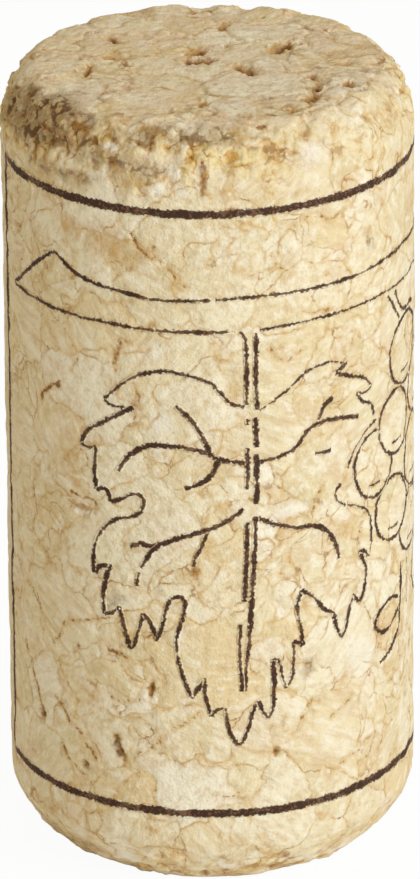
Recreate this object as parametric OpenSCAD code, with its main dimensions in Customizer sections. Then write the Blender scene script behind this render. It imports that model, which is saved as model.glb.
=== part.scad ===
// Straight wine cork, cut from pressed cork granules, with chamfered ends and a
// one-colour print on its wall: a ruled frame round a vine cane that carries a
// leaf and a bunch of grapes.
//
// The cork stands on its lower end, with its axis on +Z. Places on the wall are
// given as [along, height]: along is measured round the wall from the middle of
// the front, -Y, towards +X, and height from the lower end.

/* [Cork] */
// Diameter of the straight wall
cork_d = 22; // [19:0.5:30]
// Length from end to end
cork_l = 44; // [42:0.5:55]

/* [Ends] */
// Diameter of the flat at the upper end
top_face_d = 18.3; // [16:0.1:18.7]
// How far the upper chamfer comes down the wall
top_chamfer_l = 2.8; // [1:0.1:4]
// Diameter of the flat at the lower end
base_face_d = 17; // [15:0.1:18.6]
// How far the lower chamfer goes up the wall
base_chamfer_l = 3.1; // [1:0.1:4.5]
// How far each chamfer bulges past a straight cut
chamfer_bulge = 0.35; // [0.1:0.05:0.6]
// Slant of the upper end, which was cut higher at the front
top_slant = 1.2; // [0.2:0.1:2]

/* [Pores and tears] */
// Scale of the pores that are open on the wall and the ends
pit_scale = 1; // [0.5:0.1:1.3]
// Depth of the dents that grinding tore in the upper chamfer
tear_depth = 0.22; // [0.1:0.02:0.3]

/* [Print] */
// Depth that the ink soaks into the cork
ink_depth = 0.06; // [0.04:0.01:0.15]
// Width of the ruled frame line
frame_line_w = 0.42; // [0.2:0.02:0.8]
// Gap between the lower end and the frame
frame_base_gap = 4.82; // [4.6:0.1:6]
// Gap between the upper end and the frame
frame_top_gap = 4.16; // [4.1:0.1:5]
// Distance round the wall from the middle of the front to the frame's left side
frame_left = 15; // [14.7:0.1:18]
// Distance round the wall from the middle of the front to the frame's right side
frame_right = 31; // [30.2:0.1:34]
// Height of the vine, from the top of its cane to the tip of its leaf
vine_h = 27.2; // [20:0.2:28]
// Gap between the frame's upper line and the cane
vine_drop = 3.3; // [2.5:0.1:4.5]
// Width of the vine's lines
line_w = 0.2; // [0.14:0.01:0.3]

/* [Hidden] */
$fn = 72;

cork_r = cork_d / 2;
cork_colour = "#d8c298";
ink_colour = "#3c2c24";
spare = 1;                 // how far a cutter reaches past the face that it cuts
film_clear = 0.4;          // a flat-sided cutter starts this far inside the ink
hollow_fn = 7;             // corners of a pore or a tear, which is a broken granule's shape
hollow_floor = 0.55;       // size of a hollow's floor, as a share of its mouth
hollow_rise = 0.1;         // how far a hollow's cutter stands out of the surface
rim_fn = 48;               // sides of the disc that rounds a chamfer
oval_fn = 22;              // sides of a grape
curve_steps = 2;           // straight steps for each span of a stroke

frame_base = frame_base_gap;
frame_top = cork_l - frame_top_gap;

// ---- the vine, drawn in millimetres at its own size --------------------------

drawn_top = 36.2;          // height of the cane's highest point as drawn
drawn_h = 27.2;            // height of the whole vine as drawn
vine_scale = vine_h / drawn_h;
vine_top = frame_top - frame_line_w - vine_drop;

// Line weights, as shares of line_w
HEAVY = 1.25;
PLAIN = 1;
FINE = 0.65;

// Each stroke is a weight and the points that its curve runs through.
leaf_left_edge = [
    [PLAIN, [[1.85, 28.65], [1.1, 28.9], [0.5, 29.6], [0, 30.15], [-1.2, 30.5], [-2.4, 30.68],
             [-3.6, 30.4], [-4.6, 29.8], [-5.3, 29.15], [-5.85, 28.62]]],
    [FINE, [[-5.85, 28.55], [-5.4, 28.35], [-4.2, 28.35]]],
    [HEAVY, [[-4.15, 28.4], [-5.1, 27.8], [-6.2, 27.1], [-6.95, 26.5], [-7.4, 25.72]]],
    [PLAIN, [[-7.4, 25.66], [-6.9, 25.58], [-6.4, 25.7]]],
    [HEAVY, [[-6.42, 25.7], [-6.45, 25.1], [-6.5, 24.3], [-6.38, 23.3]]],
    [PLAIN, [[-6.4, 23.25], [-5.95, 23.45], [-5.7, 23.3], [-5.5, 22.75]]],
    [PLAIN, [[-5.5, 22.75], [-4.8, 23.05], [-4.1, 23.45], [-3.6, 23.2], [-3.75, 22.5], [-4.3, 22.1],
             [-5.1, 21.85], [-5.9, 21.2], [-6.4, 20.4], [-6.62, 19.4], [-6.6, 18.4]]],
    [PLAIN, [[-6.55, 18.4], [-6.2, 18.85], [-5.5, 19]]],
    [HEAVY, [[-5.55, 19], [-5.85, 18.3], [-6.02, 17.3], [-5.98, 16.15]]],
    [PLAIN, [[-5.95, 16.15], [-5.5, 16.3], [-5.1, 16.75]]],
    [HEAVY, [[-5.1, 16.75], [-4.85, 15.7], [-4.55, 14.6]]],
    [PLAIN, [[-4.6, 14.55], [-4.3, 14.45], [-4.05, 15.3], [-3.7, 16.55]]],
    [PLAIN, [[-3.7, 16.55], [-3.3, 16.1], [-2.95, 15.05]]],
    [PLAIN, [[-2.98, 15.05], [-2.65, 15.9], [-2.35, 17.2], [-1.9, 17.75], [-1.4, 17.5], [-1.5, 16.6],
             [-1.85, 15.3], [-1.8, 14.2], [-1.5, 13], [-1.1, 11.9]]],
    [HEAVY, [[-1.1, 11.85], [-0.8, 12.3], [-0.35, 13.05]]],
    [PLAIN, [[-0.35, 13.05], [-0.35, 12], [-0.05, 10.8]]],
    [PLAIN, [[-0.05, 10.8], [0.3, 11.2], [0.72, 11.25]]],
    [PLAIN, [[0.72, 11.25], [0.9, 10], [1.45, 9.05], [1.95, 9.95], [2.15, 10.8], [2.5, 11.5]]],
];
leaf_right_edge = [
    [PLAIN, [[2.5, 11.5], [2.8, 10.8], [3.1, 10.5], [3.35, 11.2]]],
    [HEAVY, [[3.35, 11.15], [3.38, 12.4], [3.35, 13.9]]],
    [FINE, [[3.38, 13.9], [3.65, 13.7], [3.85, 12.7], [4.1, 12.05]]],
    [PLAIN, [[4.1, 12.05], [4.45, 12.9], [4.5, 14.7]]],
    [PLAIN, [[4.5, 14.7], [4.75, 14.6], [5.05, 14.35]]],
    [PLAIN, [[5.05, 14.35], [4.95, 15.4], [4.72, 16.6], [5, 17.6]]],
    [PLAIN, [[5, 17.6], [5.7, 17.05], [6.3, 16.3], [7, 15.8]]],
    [PLAIN, [[7, 15.85], [7.15, 15], [7.45, 14.3], [7.75, 14.7], [8, 15.7], [8.35, 16.5]]],
    [PLAIN, [[8.35, 16.5], [8.85, 15.95], [9.2, 16.4], [9.4, 17.6], [8.85, 18.9]]],
    [PLAIN, [[8.85, 18.9], [9.2, 18.75], [9.62, 18.3]]],
    [FINE, [[9.62, 18.3], [9.78, 19.4], [9.55, 20.9], [8.6, 21.6], [7.5, 22.05], [7.1, 22.7],
            [7.5, 23.2]]],
    [FINE, [[2.65, 28.4], [3.6, 28.95], [4.7, 29.75], [5.6, 30.3], [6.8, 30.38], [7.95, 30]]],
    [HEAVY, [[7.95, 30], [7.2, 29.7]]],
    [PLAIN, [[7.2, 29.65], [8.2, 29.2], [9.2, 28.8], [9.85, 28.15]]],
    [PLAIN, [[9.85, 28.1], [9.3, 27.92], [8.65, 28.05]]],
    [PLAIN, [[8.65, 28], [9.1, 27.5], [9.8, 27.1], [10.1, 26.4]]],
];
leaf_veins = [
    [HEAVY, [[-1.8, 28.75], [-0.95, 27.95], [-0.4, 27], [0, 26.1]]],
    [HEAVY, [[-5.05, 24.65], [-4.4, 25.6], [-3.2, 26.35], [-1.7, 26.4], [-0.2, 26.08], [0.5, 25.7],
             [1.85, 25.42]]],
    [HEAVY, [[0.45, 25.65], [0.1, 24.85], [-0.5, 24.35], [-1.35, 24]]],
    [HEAVY, [[2.6, 25.42], [3.6, 25.6], [4.6, 25.95], [5.3, 26.7], [6.1, 27.08], [7.4, 27.02],
             [8.8, 26.7]]],
    [PLAIN, [[6.05, 27.25], [6.4, 27.95], [7, 28.3]]],
    [PLAIN, [[5.8, 25.42], [6.3, 25.36], [6.8, 25.4]]],
    [HEAVY, [[1.75, 22.8], [1, 22.2], [-0.2, 21.65], [-1.7, 21.15], [-3, 20.62], [-3.8, 20.62],
             [-4.4, 20.35]]],
    [PLAIN, [[-3.05, 20.5], [-3.35, 19.95], [-3.75, 19.3]]],
    [PLAIN, [[-0.25, 21.5], [-0.65, 20.6], [-0.95, 19.5]]],
    [PLAIN, [[-3.9, 18.9], [-4.02, 18.5], [-4.05, 18.1]]],
    [HEAVY, [[2.55, 22.2], [3.4, 21.75], [4.6, 21.35], [5.8, 21.2], [6.5, 20.75], [7.1, 19.9],
             [7.35, 18.9]]],
];
stalk = [
    [PLAIN, [[1.6, 32.92], [1.87, 32.65], [1.93, 32], [1.95, 30.4], [1.95, 28.75]]],
    [HEAVY, [[2.5, 32.8], [2.45, 31.6], [2.45, 30], [2.52, 28.45]]],
    [HEAVY, [[2.4, 28], [2.45, 27.2], [2.48, 26.3]]],
    [PLAIN, [[2, 27.95], [2, 27.6]]],
    [PLAIN, [[2, 26.3], [2, 25.2], [1.95, 23.9]]],
    [HEAVY, [[2.48, 25.9], [2.48, 24.4], [2.45, 23]]],
    [HEAVY, [[1.95, 22], [1.9, 20], [1.78, 17.4]]],
    [HEAVY, [[2.42, 22.3], [2.35, 20.5], [2.22, 18], [2.1, 16], [1.9, 14], [1.72, 12.2]]],
    [PLAIN, [[1.55, 16.1], [1.5, 14.4], [1.62, 12.2]]],
];
// The cane's two lines, broken where the print skipped
cane_left = [
    [PLAIN, [[-13.2, 33.05], [-12, 33.95], [-11, 34.85], [-10, 35.6], [-9.2, 36.1], [-8.4, 35.75],
             [-7.5, 35.35], [-6, 35.05], [-4.4, 34.9], [-2.9, 34.7]]],
    [PLAIN, [[-13.15, 33], [-11, 32.95], [-8, 32.95], [-5.5, 33.02], [-2.9, 32.95]]],
];
cane_middle = [
    [PLAIN, [[-2.7, 34.7], [-1.5, 34.72], [0.1, 34.8]]],
    [PLAIN, [[0.3, 34.8], [2.5, 34.86], [5, 34.84], [8.2, 34.84]]],
    [PLAIN, [[-2.7, 32.95], [-1, 32.95], [1.35, 32.97]]],
    [FINE, [[2.7, 32.98], [5, 33.05], [8.2, 33]]],
];
cane_right = [
    [PLAIN, [[8.4, 34.82], [11, 34.9], [14, 35], [17, 34.9], [19.4, 34.85]]],
    [FINE, [[8.4, 33], [11.2, 33.05]]],
    [FINE, [[12.1, 33], [15, 33.05], [19.4, 33]]],
];
cane_end = [
    [PLAIN, [[19.6, 34.85], [23, 34.9], [26.5, 34.7], [28.4, 34.75]]],
    [PLAIN, [[28.4, 34.75], [28.7, 33.9], [28.4, 33]]],
    [FINE, [[19.6, 33], [23, 33.05], [28.4, 33]]],
];
// The cane in stretches, each with the middle that it is drawn about
cane_stretches = [[-8, cane_left], [2.8, cane_middle], [14, cane_right], [24, cane_end]];
// The bunch's stalk, the line beside its first grape and its tendril
bunch_lines = [
    [PLAIN, [[11.35, 32.75], [12, 31.9], [12.7, 31]]],
    [PLAIN, [[12.2, 32.75], [12.7, 31.8], [13.3, 31.3], [14.2, 31.25], [15.4, 31]]],
    [FINE, [[8, 23.95], [8.5, 24.85], [9.3, 25.6], [10.3, 26.05]]],
    [PLAIN, [[13.05, 16.6], [13.1, 15.5], [12.95, 14.2], [12.85, 13.2], [12.2, 12.4], [11.4, 11.9],
             [10.65, 11.65]]],
    [PLAIN, [[12.7, 14.75], [11.9, 15.02], [11.1, 14.95], [10.4, 14.4], [10.3, 13.8], [10.9, 13.35],
             [11.8, 13.5], [12.8, 14.05]]],
    [FINE, [[14.25, 16.4], [14.1, 15.2], [14.2, 13.8]]],
];
// Grapes: [middle along the wall, middle height, half width, half height]
grapes = [
    [13.75, 28.95, 2.1, 2], [12.35, 25.2, 1.8, 1.8], [10.15, 23.5, 1.65, 1.9],
    [12, 20.3, 1.85, 1.8], [14.75, 18.6, 2, 1.75], [15.6, 22.4, 2.1, 2.05],
    [16.3, 26.1, 1.9, 1.8], [18.1, 29.2, 2, 1.9], [19.2, 24.6, 1.8, 1.9],
    [18.6, 20.3, 1.75, 1.8], [17.3, 15.2, 1.7, 1.7],
];
// A short dash low on each grape, as shares of the grape's half height and half width
shade_drop = 0.6;
shade_share = 0.3;

// Middle and reach, along the wall, of each flat drawing before it is laid on
leaf_middle = 1.5;
leaf_reach = 9.2;
bunch_middle = 14.8;
bunch_reach = 7;
cane_reach = 5.6;

// ---- pores and tears -----------------------------------------------------------

// Pores are given as [middle, middle, half length, half width, turn, depth].
// Pores on the wall and chamfers, where the middle is [along, height]
wall_pits = [
    [-5.45, 8.9, 0.25, 0.2, 0, 0.5], [-5.1, 8.2, 0.5, 0.15, -60, 0.35], [3.5, 8.3, 0.2, 0.2, 0, 0.4],
    [-7.5, 6.8, 0.25, 0.25, 0, 0.4], [-10.8, 8.7, 0.3, 0.25, 60, 0.4], [-3.3, 12.1, 0.45, 0.15, 85, 0.3],
    [-7.4, 21.95, 0.9, 0.3, 2, 0.25], [24, 30, 0.5, 0.4, 0, 0.5], [30, 12, 0.4, 0.3, 0, 0.5],
    [-28, 21, 0.5, 0.3, 0, 0.5], [-20, 36, 0.4, 0.3, 0, 0.4], [-23, 9, 0.6, 0.4, 30, 0.5],
    [33, 22, 0.6, 0.3, 60, 0.4], [38, 38, 0.4, 0.3, 0, 0.4],
];
// Pores and torn-out granules in the upper end, where the middle is [x, y]
top_pits = [
    [-0.7, 0.7, 0.65, 0.5, 20, 0.9], [0.05, 0.7, 0.5, 0.4, 60, 0.8], [-0.6, 2.1, 0.9, 0.7, 80, 0.45],
    [-5.1, 3.9, 0.45, 0.3, -60, 0.6], [-4.8, 3.35, 0.35, 0.25, 0, 0.45], [-4.9, 1.3, 0.75, 0.65, 0, 0.4],
    [-4.35, 0.2, 0.6, 0.18, -70, 0.35], [-3.7, -0.6, 0.5, 0.14, -20, 0.25], [-6.3, -0.8, 1, 0.17, 82, 0.3],
    [4, 2.8, 0.95, 0.75, 60, 0.5], [3.6, 1.9, 0.35, 0.3, 0, 0.4], [1, 3, 0.5, 0.2, 75, 0.4],
    [0.9, 6, 0.6, 0.45, 60, 0.35], [-0.5, 8.5, 0.85, 0.6, 40, 0.3], [1.8, -0.4, 0.9, 0.4, -55, 0.35],
    [2.3, -1.3, 0.6, 0.45, -80, 0.45], [4.8, -1.15, 0.8, 0.35, 15, 0.35], [5.6, -2.1, 0.7, 0.35, -70, 0.35],
    [5.8, -3.7, 0.75, 0.35, 85, 0.5], [5.5, -5.3, 0.85, 0.4, 75, 0.5], [5.3, -6.6, 0.5, 0.3, 90, 0.3],
    [7.4, -3.4, 0.6, 0.4, -60, 0.5], [7.4, 0, 0.4, 0.25, 0, 0.3], [-0.3, -6, 0.5, 0.35, 70, 0.35],
    [-2.1, -7.2, 0.45, 0.35, 20, 0.35], [4.4, -7.1, 0.55, 0.35, 0, 0.3], [5.1, 5.4, 0.4, 0.25, 45, 0.25],
    [6.3, 5.2, 0.45, 0.16, -60, 0.25], [3, 7.2, 0.35, 0.16, 80, 0.25],
];
// Pores in the lower end, where the middle is [x, y]
base_pits = [
    [-3, 2, 0.6, 0.5, 0, 0.8], [4.5, -1.5, 0.6, 0.4, 40, 0.6], [0.5, -5, 0.5, 0.35, 0, 0.5],
    [-5.5, -3.5, 0.4, 0.3, 70, 0.5], [2.5, 5.5, 0.6, 0.45, 20, 0.6],
];

// Tears in a chamfer lie in staggered rows, each row at a share of the way down it.
top_tear_rows = [0.12, 0.62];
top_tears = 38;
base_tear_rows = [0.3, 0.7];
base_tears = 12;
base_tear_share = 0.6;     // depth of the lower tears, as a share of tear_depth
tear_half_l = 1.05;        // half of a tear's length
tear_half_w = 0.72;        // half of its width

// A value from -1 to 1 for tear i, which leaps about from one tear to the next
function leap(i, key) = sin(i * (71 + 43 * key));

// ---- curves ------------------------------------------------------------------

// A smooth curve through four points at share t of the middle span
function curve_at(a, b, c, d, t) =
    0.5 * (2 * b + (c - a) * t + (2 * a - 5 * b + 4 * c - d) * t * t
           + (3 * b - a - 3 * c + d) * t * t * t);

function pick(p, i) = p[max(0, min(len(p) - 1, i))];

// The points of a smooth curve through the points p
function smooth(p) = [
    for (i = [0 : len(p) - 2], k = [0 : curve_steps - 1])
        curve_at(pick(p, i - 1), p[i], p[i + 1], pick(p, i + 2), k / curve_steps),
    p[len(p) - 1],
];

// The unit vector across the curve p at point i
function across(p, i) =
    let (d = pick(p, i + 1) - pick(p, i - 1))
    [-d[1], d[0]] / norm(d);

// A point of the vine as [along, height] on this cork's wall
function on_wall(q) = [q[0] * vine_scale, vine_top + (q[1] - drawn_top) * vine_scale];

// The angle, seen from above, of a distance along the wall, and the other way
function wall_angle(along) = along / cork_r * 180 / PI;
function wall_arc(angle) = angle * PI / 180 * cork_r;

// A wall point on the flat that touches the wall at the angle facing
function flattened(q, facing) = [cork_r * sin(wall_angle(q[0]) - facing), q[1]];

// ---- print -------------------------------------------------------------------

// A block of the wall's skin, as deep as the ink, or deeper by under and out to past
module skin_block(along_a, along_b, base, top, past, under = 0) {
    rotate([0, 0, wall_angle(along_a) - 90])
        rotate_extrude(angle = wall_angle(along_b - along_a))
            translate([cork_r - ink_depth - under, base])
                square([under + ink_depth + past, top - base]);
}

// One stroke, as a band of even width along its curve
module stroke(s, facing) {
    p = [for (q = smooth(s[1])) on_wall(q)];
    w = s[0] * line_w / 2;
    polygon([
        for (i = [0 : len(p) - 1]) flattened(p[i] + across(p, i) * w, facing),
        for (i = [len(p) - 1 : -1 : 0]) flattened(p[i] - across(p, i) * w, facing),
    ]);
}

// An oval outline with its own line width, on the flat at facing
module oval(g, facing, grow) {
    middle = on_wall([g[0], g[1]]);
    half_w = g[2] * vine_scale + grow;
    half_h = g[3] * vine_scale + grow;
    polygon([
        for (k = [1 : oval_fn])
            flattened(middle + [half_w * cos(k * 360 / oval_fn), half_h * sin(k * 360 / oval_fn)],
                      facing)
    ]);
}

module grape(g, facing) {
    difference() {
        oval(g, facing, line_w / 2);
        oval(g, facing, -line_w / 2);
    }
    dash = g[2] * shade_share;
    low = g[1] - g[3] * shade_drop;
    stroke([FINE, [[g[0] - dash, low], [g[0], low - line_w / 4], [g[0] + dash, low]]], facing);
}

// The bunch: each grape hides what lies behind it
module bunch(facing) {
    for (i = [0 : len(grapes) - 1])
        difference() {
            grape(grapes[i], facing);
            for (j = [0 : 1 : i - 1]) oval(grapes[j], facing, -line_w / 2);
        }
    for (s = bunch_lines) stroke(s, facing);
}

// A flat drawing, laid on the wall where it faces and sunk to the ink's depth
module on_skin(facing, reach, past) {
    intersection() {
        skin_block(wall_arc(facing - reach), wall_arc(facing + reach), frame_base, frame_top, past);
        rotate([0, 0, facing])
            translate([0, -(cork_r - ink_depth) * cos(reach) + film_clear, 0])
                rotate([90, 0, 0])
                    linear_extrude(cork_r + film_clear + spare)
                        children();
    }
}

module ruled_frame(past) {
    difference() {
        skin_block(-frame_left, frame_right, frame_base, frame_top, past);
        skin_block(frame_line_w - frame_left, frame_right - frame_line_w,
                   frame_base + frame_line_w, frame_top - frame_line_w, past + spare, spare);
    }
}

module vine(past) {
    leaf_facing = wall_angle(leaf_middle * vine_scale);
    on_skin(leaf_facing, wall_angle(leaf_reach * vine_scale), past)
        for (edge = [leaf_left_edge, leaf_right_edge, leaf_veins, stalk], s = edge)
            stroke(s, leaf_facing);
    bunch_facing = wall_angle(bunch_middle * vine_scale);
    on_skin(bunch_facing, wall_angle(bunch_reach * vine_scale), past)
        bunch(bunch_facing);
    for (stretch = cane_stretches) {
        facing = wall_angle(stretch[0] * vine_scale);
        on_skin(facing, wall_angle(cane_reach * vine_scale), past)
            for (s = stretch[1]) stroke(s, facing);
    }
}

module print_shape(past) {
    ruled_frame(past);
    vine(past);
}

// ---- cork --------------------------------------------------------------------

// The unit vector out of the chamfer from edge to wall, as [radius, height]
function chamfer_outward(edge, wall) =
    let (run = wall - edge)
    [abs(run[1]), -sign(run[1]) * abs(run[0])] / norm(run);

// A point of the bulging chamfer at share t of the way from edge to wall
function on_chamfer(edge, wall, t) =
    edge + (wall - edge) * t + chamfer_outward(edge, wall) * (4 * chamfer_bulge * t * (1 - t));

// A disc whose rim runs through edge and wall and bulges past the line between them
module chamfer_round(edge, wall) {
    chord = norm(wall - edge);
    rim_r = chord * chord / (8 * chamfer_bulge) + chamfer_bulge / 2;
    translate(on_chamfer(edge, wall, 0.5) - chamfer_outward(edge, wall) * rim_r)
        circle(r = rim_r, $fn = rim_fn);
}

// Ends of the two chamfers in the cork's section, as [radius, height]
base_edge = [base_face_d / 2, 0];
base_wall = [cork_r, base_chamfer_l];
top_wall = [cork_r, cork_l - top_chamfer_l];
top_edge = [top_face_d / 2, cork_l];

// Half of the cork's long section
module section() {
    polygon([[0, 0], base_edge, base_wall, top_wall, top_edge, [0, cork_l]]);
    intersection() {
        square([cork_r, cork_l + spare]);
        union() {
            chamfer_round(base_edge, base_wall);
            chamfer_round(top_edge, top_wall);
        }
    }
}

// What the slanting cut takes off the upper end
module slant_cut() {
    translate([0, -top_face_d / 2, cork_l])
        rotate([-top_slant, 0, 0])
            translate([-cork_d, -cork_d, 0])
                cube([2 * cork_d, 3 * cork_d, 2 * spare]);
}

// Height of the slanting upper end at y
function top_at(y) = cork_l - (y + top_face_d / 2) * tan(top_slant);

// A hollow with a jagged oval mouth at the origin's level, sloping to a flat floor
module hollow(half_l, half_w, turn, deep, key) {
    n = hollow_fn;
    mouth = [
        for (k = [0 : n - 1])
            let (a = 360 * k / n, jag = 1 + 0.15 * leap(k, key))
            [half_l * jag * cos(a), half_w * jag * sin(a)]
    ];
    flare = 1 + (1 - hollow_floor) * hollow_rise / deep;
    rotate([0, 0, turn])
        polyhedron(
            [
                for (q = mouth) [q[0] * hollow_floor, q[1] * hollow_floor, -deep],
                for (q = mouth) [q[0] * flare, q[1] * flare, hollow_rise],
            ],
            [
                [for (k = [0 : n - 1]) k],
                [for (k = [n - 1 : -1 : 0]) n + k],
                for (k = [0 : n - 1]) [k, k + n, (k + 1) % n + n, (k + 1) % n],
            ]
        );
}

// One pore of the lists above, at the origin's level
module pit(p) {
    hollow(p[2] * pit_scale, p[3] * pit_scale, p[4], p[5] * pit_scale, p[0]);
}

module pits() {
    for (p = wall_pits)
        rotate([0, 0, wall_angle(p[0])])
            translate([0, -cork_r, p[1]])
                rotate([90, 0, 0])
                    pit(p);
    for (p = top_pits)
        translate([p[0], p[1], top_at(p[1])]) pit(p);
    for (p = base_pits)
        translate([p[0], p[1], 0]) rotate([180, 0, 0]) pit(p);
}

// Tears round the chamfer from edge to wall, in rows
module tears(edge, wall, rows, count, depth) {
    out = chamfer_outward(edge, wall);
    for (i = [0 : count - 1]) {
        row = rows[i % len(rows)];
        middle = on_chamfer(edge, wall, row + 0.08 * leap(i, 1));
        half_l = tear_half_l * (1 + 0.3 * leap(i, 2));
        half_w = tear_half_w * (1 + 0.3 * leap(i, 3));
        rotate([0, 0, 360 * i / count + 3 * leap(i, 4)])
            translate([middle[0], 0, middle[1]])
                rotate([0, atan2(out[0], out[1]), 0])
                    hollow(half_l, half_w, 90 + 50 * leap(i, 5), depth * (1 + 0.4 * leap(i, 6)), i);
    }
}

// ---- pieces ------------------------------------------------------------------

module cork() {
    color(cork_colour) difference() {
        rotate_extrude() section();
        slant_cut();
        pits();
        tears(top_edge, top_wall, top_tear_rows, top_tears, tear_depth);
        tears(base_edge, base_wall, base_tear_rows, base_tears, tear_depth * base_tear_share);
        print_shape(spare);
    }
}

module vine_print() {
    color(ink_colour) print_shape(0);
}

cork();
vine_print();
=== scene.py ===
# %% [markdown]
# # A wine cork of pressed granules
#
# A cheap straight wine cork is not one piece of bark. Bark is ground into
# granules of two to five millimetres, these are glued and pressed into a rod,
# and the rod is cut, chamfered and printed. So three things make its look: the
# granules with their thin brown seams, the ends and chamfers that were torn as
# much as cut, and the one-colour print that sinks into a dry, dusty surface.
#
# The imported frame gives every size. This lesson dresses it: first the skin,
# then the relief, then the finish, then the print, and the studio last.

# %% Load the frame
import itertools
import math

import bmesh
import bpy
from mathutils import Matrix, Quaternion, Vector, kdtree, noise
from mathutils.bvhtree import BVHTree


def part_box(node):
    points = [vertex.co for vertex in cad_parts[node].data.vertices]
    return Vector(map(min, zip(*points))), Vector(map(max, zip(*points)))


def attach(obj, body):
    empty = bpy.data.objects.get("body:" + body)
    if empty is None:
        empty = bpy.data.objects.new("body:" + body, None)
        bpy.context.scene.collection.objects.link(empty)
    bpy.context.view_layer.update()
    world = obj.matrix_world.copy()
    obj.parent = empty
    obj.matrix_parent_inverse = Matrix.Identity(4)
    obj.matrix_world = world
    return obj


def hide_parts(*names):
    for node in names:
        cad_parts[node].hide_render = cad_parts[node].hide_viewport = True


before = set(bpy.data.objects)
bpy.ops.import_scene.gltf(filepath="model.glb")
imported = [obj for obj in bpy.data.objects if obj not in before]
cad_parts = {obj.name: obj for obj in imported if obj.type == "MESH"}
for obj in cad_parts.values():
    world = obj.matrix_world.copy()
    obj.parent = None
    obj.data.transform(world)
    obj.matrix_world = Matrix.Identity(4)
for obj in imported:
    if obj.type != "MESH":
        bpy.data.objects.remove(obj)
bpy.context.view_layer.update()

MM = 0.001
_, cork_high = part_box("cork")
cork_r = round(cork_high.x / MM, 1)
cork_l = round(cork_high.z / MM, 1)
print(f"the cork is {2 * cork_r:.1f} mm across and {cork_l:.1f} mm long")

# %% [markdown]
# ## Small helpers
#
# Colours are written as sRGB hex values, the way a colour picker shows them,
# while shaders work in linear light, so one function turns one into the other.
# A second function adds a node, sets its properties and fills its sockets. It
# works alike in a material and in a geometry node tree, and that is what lets
# colour and relief share one pattern further down. A node that is given for a
# socket stands for its result, which is the first of its outputs in use.


# %% Colours and nodes
def linear(hex_colour):
    """The linear RGBA of an sRGB hex colour."""
    parts = [int(hex_colour[i : i + 2], 16) / 255 for i in (1, 3, 5)]
    return [p / 12.92 if p <= 0.04045 else ((p + 0.055) / 1.055) ** 2.4 for p in parts] + [1.0]


def add(tree, kind, sockets=None, **settings):
    """A new node: its sockets, by name or number, take a node, an output or a value."""
    node = tree.nodes.new(kind)
    for name, value in settings.items():
        setattr(node, name, value)
    for key, value in (sockets or {}).items():
        if isinstance(value, bpy.types.Node):
            value = next(output for output in value.outputs if output.enabled)
        if isinstance(value, bpy.types.NodeSocket):
            tree.links.new(value, node.inputs[key])
        else:
            node.inputs[key].default_value = value
    return node


def new_piece(name, bm):
    """An object at the origin that holds the bmesh bm."""
    mesh = bpy.data.meshes.new(name)
    bm.to_mesh(mesh)
    bm.free()
    piece = bpy.data.objects.new(name, mesh)
    bpy.context.scene.collection.objects.link(piece)
    return piece


def apply_modifiers(piece):
    """Makes the piece's mesh what its modifiers show."""
    seen = piece.evaluated_get(bpy.context.evaluated_depsgraph_get())
    mesh = bpy.data.meshes.new_from_object(seen)
    piece.modifiers.clear()
    piece.data = mesh


# %% [markdown]
# ## The blank
#
# The blank is turned work, so it starts as half a section that is spun round
# the axis. Each chamfer bulges a little, because the grinding wheel presses
# into soft cork, so it is a shallow curve and not a straight line. The upper
# end was cut askew, and a bisecting plane takes that slice off.

# %% Section of the blank
# The cork's own sizes are in millimetres throughout, and only meshes are in metres.
base_face_r, base_chamfer_l = 8.5, 3.1
top_face_r, top_chamfer_l = 9.15, 2.8
chamfer_bulge = 0.35
top_slant = math.radians(1.2)
bulge_steps = 8

# A chamfer runs from its edge to the wall, each of them a point (radius, height)
base_edge, base_wall = Vector((base_face_r, 0)), Vector((cork_r, base_chamfer_l))
top_edge, top_wall = Vector((top_face_r, cork_l)), Vector((cork_r, cork_l - top_chamfer_l))


def on_chamfer(edge, wall, t):
    """The point at share t from edge to wall on a bulging chamfer, and the way out of it."""
    run = wall - edge
    outward = Vector((abs(run.y), -math.copysign(run.x, run.y))).normalized()
    return edge + run * t + outward * (4 * chamfer_bulge * t * (1 - t)), outward


shares = [k / bulge_steps for k in range(bulge_steps + 1)]
section = [Vector((0, 0))]
section += [on_chamfer(base_edge, base_wall, t)[0] for t in shares]
section += [on_chamfer(top_edge, top_wall, 1 - t)[0] for t in shares]
section += [Vector((0, cork_l))]
print(f"the section has {len(section)} points")

# %% Spin the blank and cut its upper end askew
turn_steps = 180
weld = 0.001

bm = bmesh.new()
corners = [bm.verts.new((p.x * MM, 0, p.y * MM)) for p in section]
lines = [bm.edges.new(pair) for pair in zip(corners, corners[1:])]
bmesh.ops.spin(
    bm, geom=corners + lines, cent=(0, 0, 0), axis=(0, 0, 1), angle=math.tau,
    steps=turn_steps, use_merge=True,
)
bmesh.ops.remove_doubles(bm, verts=bm.verts, dist=weld * MM)
bmesh.ops.bisect_plane(
    bm, geom=bm.verts[:] + bm.edges[:] + bm.faces[:],
    plane_co=(0, -top_face_r * MM, cork_l * MM),
    plane_no=(0, math.sin(top_slant), math.cos(top_slant)), clear_outer=True,
)
bmesh.ops.holes_fill(bm, edges=bm.edges)
bmesh.ops.recalc_face_normals(bm, faces=bm.faces)
cork = new_piece("pressed_cork", bm)
print(f"the blank has {len(cork.data.polygons)} faces")

# %% [markdown]
# ## An even skin
#
# Relief needs small faces of one size, and a spun mesh has slivers at its
# poles and long strips on its wall. A voxel remesh lays an even skin of small
# quads over any closed shape. The chamfers and the upper end are torn more
# finely than the wall, so the faces of the upper chamfer and end are split once more.

# %% Remesh
skin_pitch = 0.31

even = cork.modifiers.new("Even skin", "REMESH")
even.mode = "VOXEL"
even.voxel_size = skin_pitch * MM
apply_modifiers(cork)
print(f"the even skin has {len(cork.data.polygons)} faces")
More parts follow.
